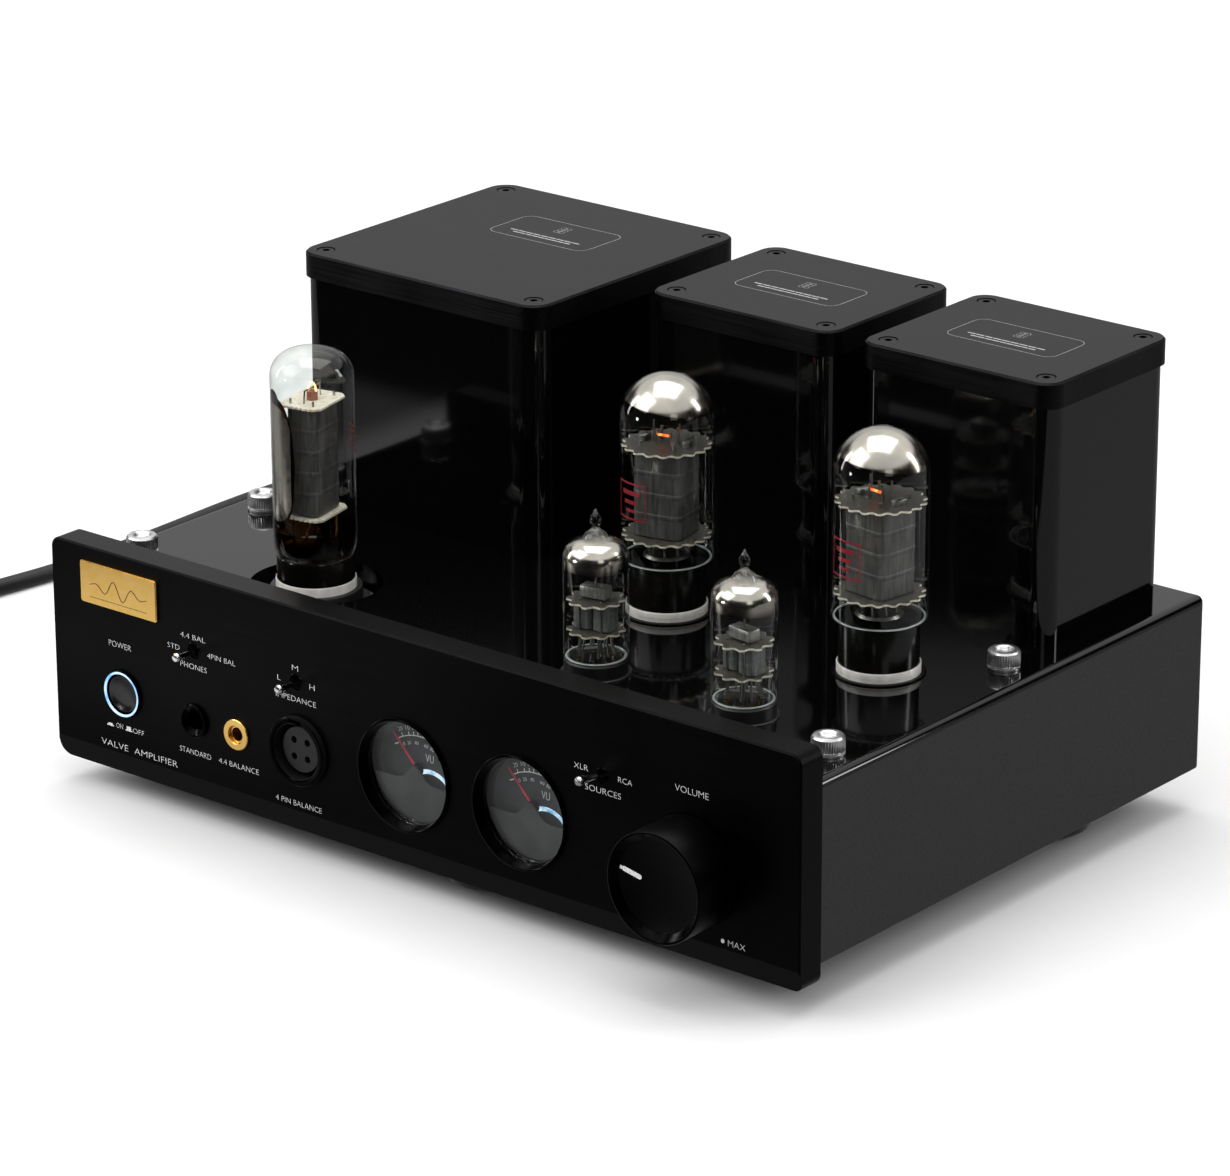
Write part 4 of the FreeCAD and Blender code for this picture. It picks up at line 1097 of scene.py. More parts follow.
@dataclass
class CapPrint:
    """The outlined label on a transformer cap, with a generic coil symbol and bars."""

    node: str
    width: float
    depth: float
    shift: Point = (0.0, 0.0)
    line: float = 0.22
    corner: float = 4.0

    def build(self) -> None:
        """Builds the outline ring, the symbol of two coupled coils, and the bars."""
        spot = Spot.of(self.node)
        x, y = spot.middle.x + self.shift[0], spot.middle.y + self.shift[1]
        top = spot.high.z + 0.005
        ink = Shape()
        outer = rounded_outline(self.width, self.depth, self.corner)
        for (ax, ay), (bx, by) in zip(outer, outer[1:] + outer[:1]):
            ink.line((x + ax, y + ay, top), (x + bx, y + by, top), self.line)
        steps, loops, loop = 8, 3, self.depth / 22.0
        back = y + self.depth * 0.17
        for side in (-1, 1):
            for k in range(loops):
                level = back + (k - 1) * 2 * loop
                arc = [(x + side * (1.0 + loop * math.sin(math.pi * n / steps)),
                        level - loop * math.cos(math.pi * n / steps), top)
                       for n in range(steps + 1)]
                for start, end in zip(arc, arc[1:]):
                    ink.line(start, end, self.line * 1.3)
            ink.line((x + side * 0.4, back - 3 * loop, top), (x + side * 0.4, back + 3 * loop, top),
                     self.line)
        for k, share in enumerate((0.36, 0.30)):
            level = y - self.depth * 0.22 - 2.0 * k
            for n in range(9):
                left = x - self.width * share + 2 * self.width * share * n / 9
                ink.line((left, level, top), (left + self.width * share * 0.17, level, top), 0.8)
        ink.finish(self.node + "_print", [FAINT_INK], "chassis", "cap")


# ================================================================ valves
class Bulb(Enum):
    """The three kinds of bottle, with how they stand in their sockets."""

    RECTIFIER = "rectifier"
    POWER = "power"
    DRIVER = "driver"


def dome(radius: float, shoulder: float, top: float, crown: float = 0.0, steps: int = 12
         ) -> list[Point]:
    """Profile of a bulb's top: a round shoulder into a crown of the given radius."""
    return [(crown + (radius - crown) * math.cos(math.pi / 2 * k / steps),
             shoulder + (top - shoulder) * math.sin(math.pi / 2 * k / steps))
            for k in range(steps + 1)]


def toothed(shape: Shape, radius: float, level: float, teeth: int, depth: float,
            thick: float = 0.7) -> None:
    """Adds a mica disc with scallops between its teeth: a dark sheet whose upright edge takes slot
    3, painted pale as a highlight along the cut edge.
    """
    part = bmesh.new()
    made = bmesh.ops.create_circle(part, cap_ends=True, segments=8 * teeth, radius=radius)["verts"]
    for k, vert in enumerate(made):
        share = (k % 8 - 2) / 6.0
        if share > 0.0:
            vert.co *= 1.0 - depth * math.sin(math.pi * share) / radius
    grown = bmesh.ops.extrude_face_region(part, geom=part.faces[:])["geom"]
    tops = [v for v in grown if isinstance(v, bmesh.types.BMVert)]
    bmesh.ops.translate(part, vec=(0, 0, thick), verts=tops)
    bmesh.ops.recalc_face_normals(part, faces=part.faces[:])
    # upright edge faces take slot 3: a painted highlight along the mica's edge
    shape.take(part, Matrix.Translation((0, 0, level)), 1, rim=3)


def anode_box(shape: Shape, x: float, z0: float, z1: float, width: float, depth: float,
              corner: float, ribs: int = 3) -> None:
    """Adds a pressed anode: a rounded tube with pressed ribs round it.

    Args:
        shape: the shape that it goes in.
        x: its middle along X.
        z0: its foot.
        z1: its top.
        width: size along X.
        depth: size along Y.
        corner: radius of its corners.
        ribs: pressed ribs along its height.
    """
    part = bmesh.new()
    outline = rounded_outline(width, depth, corner, 5)
    face = part.faces.new([part.verts.new((a, b, z0)) for a, b in outline])
    levels, rib = [], (z1 - z0) / (ribs + 1)
    for k in range(1, ribs + 1):
        middle = z0 + k * rib
        levels += [(middle - 0.9, 1.0), (middle - 0.4, 1.02), (middle + 0.4, 1.02),
                   (middle + 0.9, 1.0)]
    levels.append((z1, 1.0))
    height, scale, region = z0, 1.0, [face]
    for level, grow in levels:
        grown = bmesh.ops.extrude_face_region(part, geom=region)["geom"]
        verts = [v for v in grown if isinstance(v, bmesh.types.BMVert)]
        region = [f for f in grown if isinstance(f, bmesh.types.BMFace)]
        bmesh.ops.translate(part, vec=(0, 0, level - height), verts=verts)
        bmesh.ops.scale(part, vec=(grow / scale, grow / scale, 1.0), verts=verts)
        height, scale = level, grow
    bmesh.ops.recalc_face_normals(part, faces=part.faces[:])
    shape.take(part, Matrix.Translation((x, 0, 0)))


@dataclass
class Valve:
    """One valve: bulb, base, electrode set, getter flash and print."""

    name: str                          # CAD prefix
    kind: Bulb
    turn: float = 0.0                  # degrees that its electrode set is turned
    # how far the moulded base reaches below the glass, by kind
    base_reach: dict[Bulb, float] = field(default_factory=lambda: {Bulb.POWER: 15.4,
                                                                   Bulb.RECTIFIER: 8.5})

    def spots(self) -> tuple[Spot, Vector]:
        """The glass box and its middle."""
        spot = Spot.of(self.name + "_glass")
        return spot, spot.middle

    def place(self) -> Matrix:
        """Puts an electrode set made about Z on the bulb's axis, turned as it stands."""
        _, middle = self.spots()
        turn = Matrix.Rotation(math.radians(self.turn), 4, "Z")
        return Matrix.Translation((middle.x, middle.y, 0)) @ turn

    def bulb(self, neck: float, rise: float, shoulder: float, crown: float,
             tip: Sequence[Point] = ()) -> None:
        """The glass: neck, straight wall, round shoulder, and a sealed tip where it has one.

        Args:
            neck: radius at its foot.
            rise: height over which it widens.
            shoulder: height of its round shoulder.
            crown: radius of the flat of its dome.
            tip: (radius, height) points of the sealed tip above the dome.
        """
        spot, middle = self.spots()
        radius, z0 = spot.size.x / 2.0, spot.low.z
        top = spot.high.z - (tip[-1][1] if tip else 0.0)
        profile = [(0, z0)] + [(neck + (radius - neck) * math.sin(math.pi * k / 10),
                                z0 + rise * (1.0 - math.cos(math.pi * k / 10)))
                               for k in range(6)]
        profile += dome(radius, top - shoulder, top, crown)
        profile += [(r, top + lift) for r, lift in tip] if tip else [(0, top)]
        glass = Shape()
        glass.lathe(profile, (middle.x, middle.y, 0), steps=96)
        glass.finish(self.name + "_bulb", [GLASS], "chassis", "glass", [self.name + "_glass"])

    def flash(self, shoulder: float, crown: float, edge: float, tilt: float, tip: float = 0.0
              ) -> None:
        """The getter's mirror inside the top of the bulb, cut on a slant at its lower edge.

        Args:
            shoulder: height of the bulb's round shoulder.
            crown: radius of its crown.
            edge: mean height of the mirror's lower edge.
            tilt: fall of that edge from the middle to the right, seen from the front right.
            tip: height of the sealed tip.
        """
        spot, middle = self.spots()
        gap = 0.25
        radius, top = spot.size.x / 2.0 - gap, spot.high.z - tip - gap
        start = min(edge - tilt, top - shoulder) - 1.0
        outer = [(radius, start)] + dome(radius, top - shoulder, top, crown)
        if outer[-1][0] > 0:
            outer.append((0, top))

        def trim(part: bmesh.types.BMesh) -> None:
            """Cuts the slanting edge and gives the film a wall."""
            slope = Vector((0.77 * tilt / radius, 0.63 * tilt / radius, 1.0)).normalized()
            bmesh.ops.bisect_plane(part, geom=part.verts[:] + part.edges[:] + part.faces[:],
                                   plane_co=(0, 0, edge), plane_no=slope, clear_inner=True)
            bmesh.ops.solidify(part, geom=part.faces[:], thickness=0.08)

        film = Shape()
        film.lathe(outer, (middle.x, middle.y, 0), steps=64, warp=trim)
        film.finish(self.name + "_getter_flash", [GetterMirror(
            self.name + "_barium_mirror", top=edge + 5.0, edge=edge - tilt)], "chassis", "glass")

    def seal(self, radius: float) -> None:
        """The thick bright foot of the glass."""
        spot, middle = self.spots()
        foot = Shape()
        foot.lathe([(radius - 0.9, 0.05), (radius - 0.3, 0.05), (radius - 0.15, 0.2),
                    (radius - 0.3, 0.4), (radius - 0.9, 0.4)], (middle.x, middle.y, spot.low.z),
                   steps=72, ring=True)
        foot.finish(self.name + "_glass_seal", [SEAL], "chassis", "glass")

    def base(self) -> None:
        """The smooth moulded base with its pins and spigot."""
        spot = Spot.of(self.name + "_base")
        middle, high = spot.middle, spot.high.z
        radius = spot.size.x / 2.0
        foot = Spot.of(self.name + "_glass").low.z - self.base_reach[self.kind]
        base = Shape()
        base.lathe([(0, foot - 2.0), (radius - 0.5, foot - 2.0), (radius, foot - 1.5),
                    (radius, high - 0.7), (radius - 0.2, high - 0.2), (radius - 0.7, high),
                    (0, high)], (middle.x, middle.y, 0), steps=96)
        for k in range(8):
            angle = math.radians(22.5 + 45 * k)
            px, py = middle.x + 8.73 * math.cos(angle), middle.y + 8.73 * math.sin(angle)
            base.rod((px, py, spot.low.z + 1.0), (px, py, foot - 1.5), 1.15, slot=1)
        base.rod((middle.x, middle.y, spot.low.z), (middle.x, middle.y, foot - 1.5), 3.9, 24)
        base.finish(self.name + "_moulded_base", [PHENOLIC, NICKEL], "chassis", "valve_base",
                    [self.name + "_base"])


@dataclass
class RectifierValve(Valve):
    """Clear straight bulb; one ribbed anode between pale insulators, its filament hot on top."""

    def insulator(self, shape: Shape, level: float) -> None:
        """A pale plate with cut corners and small teeth along its front edge."""
        x, y, cut, teeth = 8.0, 10.5, 2.4, 6
        outline = [(x - cut, y), (cut - x, y), (-x, y - cut), (-x, cut - y)]
        for k in range(teeth):
            left = (cut - x) + (2 * x - 2 * cut) * k / teeth
            width = (2 * x - 2 * cut) / teeth
            outline += [(left, -y), (left + 0.6 * width, -y), (left + 0.7 * width, 0.7 - y),
                        (left + 0.9 * width, 0.7 - y)]
        outline += [(x - cut, -y), (x, cut - y), (x, y - cut)]
        shape.plate(outline, 0.7, Matrix.Translation((0, 0, level)), slot=1)

    def electrodes(self) -> None:
        """Anode, insulators, rods, cathode tube and the loop of hot filament."""
        spot, _ = self.spots()
        z0, top, low = spot.low.z, 143.0, 103.4
        hot = Shape()
        self.insulator(hot, top)
        self.insulator(hot, low)
        anode_box(hot, 0.0, low + 1.5, top - 0.8, 11.5, 17.0, 2.5, 4)
        for side in (-1, 1):
            for depth in (-1, 1):
                hot.rod((side * 4.4, depth * 7.0, top), (side * 4.4, depth * 7.0, top + 2.4), 0.45,
                        slot=2)
                hot.rod((side * 4.4, depth * 7.0, low), (side * 6.0, depth * 4.0, z0 + 2.0), 0.5,
                        slot=6)
            hot.rod((0, side * 5.6, top), (0, side * 5.0, top + 5.2), 0.3, 8, slot=2)
        hot.rod((0, -5.0, top + 5.0), (0, 5.0, top + 5.0), 0.25, 8, slot=2)
        hot.lathe([(0, 0.6), (1.9, 0.6), (1.9, 3.4), (1.7, 3.8), (0, 3.8)], (0, 0, top), steps=32,
                  slot=4)
        turns = [math.pi * k / 12 for k in range(13)]
        loop = [(1.5 * math.cos(a), 0.0, top + 3.7 + 3.0 * math.sin(a)) for a in turns]
        for start, end in zip(loop, loop[1:]):
            hot.rod(start, end, 0.3, 8, slot=5)
        hot.move(self.place())
        hot.finish("rectifier_electrodes", [ANODE, PALE_MICA_AND_EDGE_GLINT, NICKEL, PALE_MICA_AND_EDGE_GLINT, WARM_TUBE,
                                            HOT_LOOP, BRASS], "chassis", "anode",
                   ["rectifier_plates"])

    def films(self) -> None:
        """The getter's mirror on the left of the wall, and the smoky film at the foot."""
        spot, middle = self.spots()
        reach, start, sweep = spot.size.x / 2.0 - 0.3, -180.6, 106.0
        low, high, columns, rows = 100.5, 146.0, 32, 16
        part = bmesh.new()
        grid = []
        for i in range(columns + 1):
            across = 2.0 * i / columns - 1.0
            half = (high - low) / 2.0 * (1.0 - abs(across) ** 4) ** 0.5 + 1.0
            angle = math.radians(start + sweep * i / columns)
            grid.append([part.verts.new((reach * math.cos(angle), reach * math.sin(angle),
                                         (low + high) / 2.0 + half * (2.0 * j / rows - 1.0)))
                         for j in range(rows + 1)])
        for i in range(columns):
            for j in range(rows):
                face = part.faces.new((grid[i][j], grid[i + 1][j], grid[i + 1][j + 1],
                                       grid[i][j + 1]))
                face.select = i in (0, 1, columns - 2, columns - 1) or j in (0, rows - 1)
        edge = bmesh.new()
        holder = bpy.data.meshes.new("film")
        part.to_mesh(holder)
        edge.from_mesh(holder)
        bpy.data.meshes.remove(holder)
        bmesh.ops.delete(part, geom=[f for f in part.faces if f.select], context="FACES")
        bmesh.ops.delete(edge, geom=[f for f in edge.faces if not f.select], context="FACES")
        for each in (part, edge):
            bmesh.ops.solidify(each, geom=each.faces[:], thickness=0.06)
        place = Matrix.Translation((middle.x, middle.y, 0))
        film = Shape()
        film.take(part, place, 0)
        film.take(edge, place, 1)
        film.finish("rectifier_getter_flash", [GetterMirror("rectifier_barium_mirror", top=104.0,
                                                            edge=99.0), BROWN_FILM],
                    "chassis", "glass")
        smoke = Shape()
        smoke.lathe([(12.9, 1.2), (13.7, 4.0), (13.95, 8.0), (13.95, 10.0), (13.9, 10.0),
                     (13.9, 8.0), (13.6, 4.0), (12.8, 1.2)], (middle.x, middle.y, spot.low.z),
                    steps=64, ring=True)
        smoke.finish("rectifier_smoky_foot", [SMOKE], "chassis", "glass")

    def print_mark(self) -> None:
        """A small red panel on the back of the glass, with bars for lines of type."""
        _, middle = self.spots()
        mark = Shape()
        wrap_mark(mark, middle, 14.27, 60.0, 26.0, 9.0, 124.0)
        mark.finish("rectifier_print", [RED_INK], "chassis", "glass")

    def build(self) -> None:
        """Builds the whole valve."""
        self.bulb(12.6, 6.0, 9.0, 4.0)
        self.base()
        self.electrodes()
        self.films()
        self.print_mark()


def wrap_mark(shape: Shape, middle: Vector, radius: float, azimuth: float, width: float,
              height: float, level: float, slot: int = 0) -> None:
    """Adds a frame with three bars, wrapped on a bulb's wall.

    Args:
        shape: the shape that it goes in.
        middle: a point on the bulb's axis.
        radius: just outside the wall.
        azimuth: its middle, degrees from +X.
        width: degrees that it covers.
        height: mm along Z.
        level: its lower edge.
        slot: material slot.
    """
    bars = ((0.0, 1.0, 0.0, 0.05), (0.0, 1.0, 0.95, 1.0), (0.0, 0.03, 0.0, 1.0),
            (0.97, 1.0, 0.0, 1.0), (0.18, 0.82, 0.66, 0.78), (0.26, 0.74, 0.42, 0.52),
            (0.32, 0.68, 0.2, 0.28))
    for u0, u1, v0, v1 in bars:
        part = bmesh.new()
        steps = max(1, round((u1 - u0) * 12))
        foot = [part.verts.new((radius, 0.0, level + height * v)) for v in (v0, v1)]
        line = part.edges.new(foot)
        bmesh.ops.spin(part, geom=foot + [line], cent=(0, 0, 0), axis=(0, 0, 1), dvec=(0, 0, 0),
                       angle=math.radians(width * (u1 - u0)), steps=steps, use_merge=False,
                       use_duplicate=False)
        bmesh.ops.recalc_face_normals(part, faces=part.faces[:])
        bmesh.ops.solidify(part, geom=part.faces[:], thickness=0.03)
        turn = Matrix.Rotation(math.radians(azimuth + width * (u0 - 0.5)), 4, "Z")
        shape.take(part, Matrix.Translation((middle.x, middle.y, 0)) @ turn, slot)


@dataclass
class PowerValve(Valve):
    """Large bulb with a silvered dome; a boxed anode between toothed micas."""

    def electrodes(self) -> None:
        """Anode, toothed insulators that touch the glass, rods, filament and stem wires."""
        spot, _ = self.spots()
        z0, top, low = spot.low.z, 136.8, 105.3
        hot = Shape()
        for height in (top, low):
            toothed(hot, 15.1, height, 18, 1.5)
        anode_box(hot, 0.0, low + 1.2, top - 0.6, 18.0, 17.0, 3.0, 3)
        for side in (-1, 1):
            for depth in (-6.8, 6.8):
                hot.rod((side * 6.2, depth, top), (side * 6.2, depth, top + 2.4), 0.55, slot=2)
            for depth in (-2.2, 2.2):
                hot.rod((side * 3.0, depth, top), (side * 3.0, depth, top + 5.6), 0.5, slot=2)
            hot.block((side * 8.2 - 1.2, -2.4, top + 0.7), (side * 8.2 + 1.2, 2.4, top + 2.6), 0.2,
                      slot=2)
        hot.rod((-2.0, -2.4, top + 4.0), (2.0, -2.4, top + 4.0), 0.4, slot=4)
        for side in (-1, 1):
            hot.rod((side * 4.8, 0, top), (side * 4.8, 0, top + 8.0), 0.35, 8, slot=2)
        for k in range(8):
            angle = math.radians(22.5 + 45 * k)
            hot.rod((6.0 * math.cos(angle), 6.0 * math.sin(angle), z0 + 1.6),
                    (5.0 * math.cos(angle), 6.4 * math.sin(angle), low), 0.4, 8, slot=2)
        hot.lathe([(0, 0.9), (8.0, 0.9), (7.2, 1.8), (4.0, 2.6), (0, 2.8)], (0, 0, z0), steps=40,
                  slot=2)
        hot.move(self.place())
        hot.finish(self.name + "_electrodes", [ANODE, MICA, NICKEL, PALE_MICA_AND_EDGE_GLINT, CATHODE], "chassis",
                   "anode", [self.name + "_plates"])

    def mark(self) -> None:
        """A red frame with a few bars wrapped on the front of the glass."""
        spot, middle = self.spots()
        mark = Shape()
        wrap_mark(mark, middle, spot.size.x / 2.0 - 0.03, -100.0, 46.0, 13.0, 114.0)
        mark.finish(self.name + "_print", [RED_INK], "chassis", "glass")

    def build(self) -> None:
        """Builds the whole valve."""
        self.bulb(15.4, 1.6, 15.0, 0.0)
        self.flash(15.0, 0.0, 151.5, 2.4)
        self.seal(15.4)
        self.base()
        self.electrodes()
        self.mark()


@dataclass
class DriverValve(Valve):
    """Miniature bulb with a long sealed tip; twin anodes and a shield under a silvered dome."""

    tip: tuple[Point, ...] = (
        (3.9, 0.9), (3.4, 1.9), (2.2, 2.7), (1.3, 3.5), (1.4, 4.4), (1.95, 6.0), (1.7, 7.4),
        (0.8, 8.8), (0.45, 9.6), (0.0, 10.1))

    def electrodes(self) -> None:
        """Two small anodes, insulators, shield box, pins and stem wires."""
        spot, _ = self.spots()
        z0, top, low = spot.low.z, 102.8, 92.4
        cold = Shape()
        for height in (top, low):
            toothed(cold, 9.7, height, 10, 1.7)
        for side in (-1, 1):
            anode_box(cold, side * 3.6, low + 1.2, top - 0.6, 6.6, 7.2, 1.6, 2)
            for depth in (-3.9, 3.9):
                cold.rod((side * 3.9, depth, z0 + 1.6), (side * 3.9, depth, top + 1.2), 0.35, 8,
                         slot=2)
        cold.block((-4.8, -2.6, top + 1.2), (4.8, 2.6, top + 5.2), 0.5, slot=4)
        cold.rod((0, 0, top + 5.2), (0, 0, top + 9.0), 0.35, 8, slot=2)
        cold.lathe([(2.6, 0), (2.8, 0.15), (2.8, 0.5), (2.6, 0.65)], (0, 0, top + 9.0), steps=28,
                   ring=True, slot=2)
        for k in range(9):
            angle = math.radians(36.0 * k - 54.0)
            cold.rod((5.95 * math.cos(angle), 5.95 * math.sin(angle), z0 + 1.0),
                     (4.9 * math.cos(angle), 4.9 * math.sin(angle), low), 0.36, 8, slot=2)
        cold.move(self.place())
        cold.finish(self.name + "_electrodes", [PALE_ANODE, MICA, NICKEL, PALE_MICA_AND_EDGE_GLINT, SHIELD],
                    "chassis", "anode", [self.name + "_plates"])

    def build(self) -> None:
        """Builds the whole valve."""
        self.bulb(10.2, 1.8, 6.2, 4.2, self.tip)
        self.flash(6.2, 4.2, 114.5, 0.5, self.tip[-1][1])
        self.seal(10.3)
        self.electrodes()


@dataclass
class Sockets:
    """Collars round the valves, the rectifier's clamp, and the brass screws in its well."""

    well_floor: float = 69.0           # height of the rectifier's well

    def build(self) -> None:
        """Builds all five sockets."""
        self.rectifier()
        self.power()
        self.driver()

    def rectifier(self) -> None:
        """White ceramic collar on a black clamp, with two brass screws in the well."""
        spot = Spot.of("rectifier_socket")
        x, y, top = spot.middle.x, spot.middle.y, spot.high.z
        collar = Shape()
        collar.lathe([(13.5, -9.0), (13.9, -9.0), (13.9, -0.5), (13.75, -0.1), (13.55, 0.0),
                      (13.5, -0.2)], (x, y, top), steps=96, ring=True)
        collar.lathe([(0, -19.0), (13.4, -19.0), (14.0, -18.4), (14.0, -9.5), (13.4, -9.0),
                      (0, -9.0)], (x, y, top), steps=96)
        collar.finish("rectifier_ceramic_collar", [CERAMIC], "chassis", "ceramic",
                      ["rectifier_socket"])
        clamp = Shape()
        clamp.lathe([(14.05, 0.0), (20.6, 0.0), (21.0, 0.3), (21.0, 1.5), (20.6, 1.8),
                     (16.2, 1.8), (16.0, 2.2), (16.0, 7.6), (15.7, 8.2), (14.05, 8.3)],
                    (x, y, self.well_floor + 0.02), steps=96, ring=True)
        clamp.finish("rectifier_clamp", [ABS], "chassis", "black_plastic")
        screws = Shape()
        for side in (-1, 1):
            screws.lathe([(0, 0), (2.6, 0), (2.7, 0.2), (2.7, 1.6), (2.3, 2.1), (1.5, 2.1),
                          (1.5, 1.1), (0, 1.1)], (x + side * 18.4, y, self.well_floor + 1.84),
                         steps=32)
        screws.finish("rectifier_socket_screws", [BRASS], "chassis", "gold_plate")

    def power(self) -> None:
        """Ceramic collars of the power valves, each with a thin steel ring."""
        centres = [Spot.of("power_valve_%s_base" % side).middle for side in ("left", "right")]
        top = Spot.of("power_valve_sockets").high.z
        deck = Spot.of("top_deck").high.z
        collars = Shape()
        for middle in centres:
            collars.lathe([(13.5, -2.0), (14.0, -2.0), (14.0, -0.4), (13.85, -0.1), (13.6, 0.0),
                           (13.5, -0.2)], (middle.x, middle.y, top), steps=96, ring=True)
            collars.lathe([(0, -19.0), (13.5, -19.0), (14.0, -18.5), (14.0, -2.2), (13.6, -2.0),
                           (0, -2.0)], (middle.x, middle.y, top), steps=96)
            collars.lathe([(14.1, 0.02), (15.6, 0.02), (15.6, 0.4), (15.3, 0.6), (14.1, 0.6)],
                          (middle.x, middle.y, deck), steps=96, ring=True, slot=1)
        collars.finish("power_ceramic_collars", [CERAMIC, OXIDE], "chassis", "ceramic",
                       ["power_valve_sockets"])

    def driver(self) -> None:
        """Black nine-pin collars with gold contact rims under the small bulbs."""
        centres = [Spot.of("driver_valve_%s_glass" % side).middle for side in ("left", "right")]
        spot = Spot.of("driver_valve_sockets")
        top, foot = spot.high.z, spot.low.z
        collars = Shape()
        for middle in centres:
            collars.lathe([(0, foot - top), (10.0, foot - top), (10.6, foot - top + 0.6),
                           (10.6, -0.6), (10.2, 0.0), (8.4, 0.0), (8.2, -0.3), (0, -0.3)],
                          (middle.x, middle.y, top), steps=72)
            collars.lathe([(10.7, 0.02 - 5.3), (11.8, 0.02 - 5.3), (11.8, -5.0), (11.5, -4.7),
                           (10.7, -4.7)], (middle.x, middle.y, top), steps=72, ring=True)
            for k in range(9):
                angle = math.radians(36.0 * k - 54.0)
                px = middle.x + 5.95 * math.cos(angle)
                py = middle.y + 5.95 * math.sin(angle)
                collars.lathe([(0.55, -0.35), (0.85, -0.35), (0.85, -0.1), (0.55, -0.1)],
                              (px, py, top), steps=14, ring=True, slot=1)
        collars.finish("driver_socket_collars", [ABS, GOLD], "chassis", "ceramic",
                       ["driver_valve_sockets"])


# ================================================================ controls
@dataclass
class PowerSwitch:
    """The dished push button in its lit ring."""

    def build(self) -> None:
        """Builds the ring of light, its dark seat and the button."""
        spot = Spot.of("power_ring")
        x, z, front = spot.middle.x, spot.middle.z, spot.low.y
        ring = Shape()
        ring.lathe([(7.15, -9.0), (8.6, -9.0), (8.6, -0.35), (8.45, -0.1), (8.15, -0.02),
                    (8.1, -0.6), (7.15, -0.6)], (x, front, z), Axis.FRONT, 96, ring=True, slot=1)
        ring.lathe([(7.3, -0.55), (8.05, -0.55), (8.05, -0.1), (7.95, 0.0), (7.45, 0.0),
                    (7.3, -0.15)], (x, front, z), Axis.FRONT, 96, ring=True)
        ring.finish("lit_ring", [RING_LIGHT, BEZEL], "chassis", "lamp_ring", ["power_ring"])
        head = Spot.of("power_button")
        button = Shape()
        button.lathe([(0, -19.0), (2.4, -19.0), (2.4, -9.5), (6.9, -9.5), (6.9, -0.7), (6.8, -0.3),
                      (6.5, 0.0), (6.2, -0.05), (5.4, -0.35), (3.8, -0.62), (2.0, -0.76),
                      (0, -0.8)], (head.middle.x, head.low.y, head.middle.z), Axis.FRONT, 96)
        button.finish("dished_button", [BUTTON], "button", "button", ["power_button"])


@dataclass
class Toggle:
    """A bat lever and the bushing ring round its well; the tilt is about Z, in degrees."""

    name: str
    x: float
    z: float
    tilt: float = 0.0
    pivot: float = -108.5
    tip: float = -122.0

    def build(self) -> None:
        """Builds the lever and the ring round its well."""
        length = self.pivot - self.tip
        bat = Shape()
        lever = [(0, -2.6), (0.7, -2.6), (0.7, 0.0), (0.72, 2.0), (0.95, 7.0),
                 (1.25, length - 3.0), (1.55, length - 2.3), (1.7, length - 1.5),
                 (1.62, length - 0.7), (1.2, length - 0.15), (0.6, length), (0, length)]
        bat.lathe(lever, (0, 0, 0), Axis.FRONT, 32)
        bat.ball((0, 0, 0), 1.6)
        bat.rod((0, 0, -2.4), (0, 0, 2.4), 0.6)
        turn = (Matrix.Translation((self.x, self.pivot, self.z))
                @ Matrix.Rotation(math.radians(self.tilt), 4, "Z"))
        bmesh.ops.transform(bat.mesh, matrix=turn, verts=bat.mesh.verts[:])
        bat.finish(self.name + "_bat", [CHROME], self.name + "_lever", "chrome",
                   [self.name + "_lever"])
        face = Spot.of("front_panel").low.y
        ring = Shape()
        ring.lathe([(2.55, -0.3), (3.0, -0.3), (3.0, 0.02), (2.85, 0.1), (2.6, 0.05)],
                   (self.x, face, self.z), Axis.FRONT, 40, ring=True)
        ring.finish(self.name + "_bushing_ring", [BEZEL], "chassis", "black_plastic")


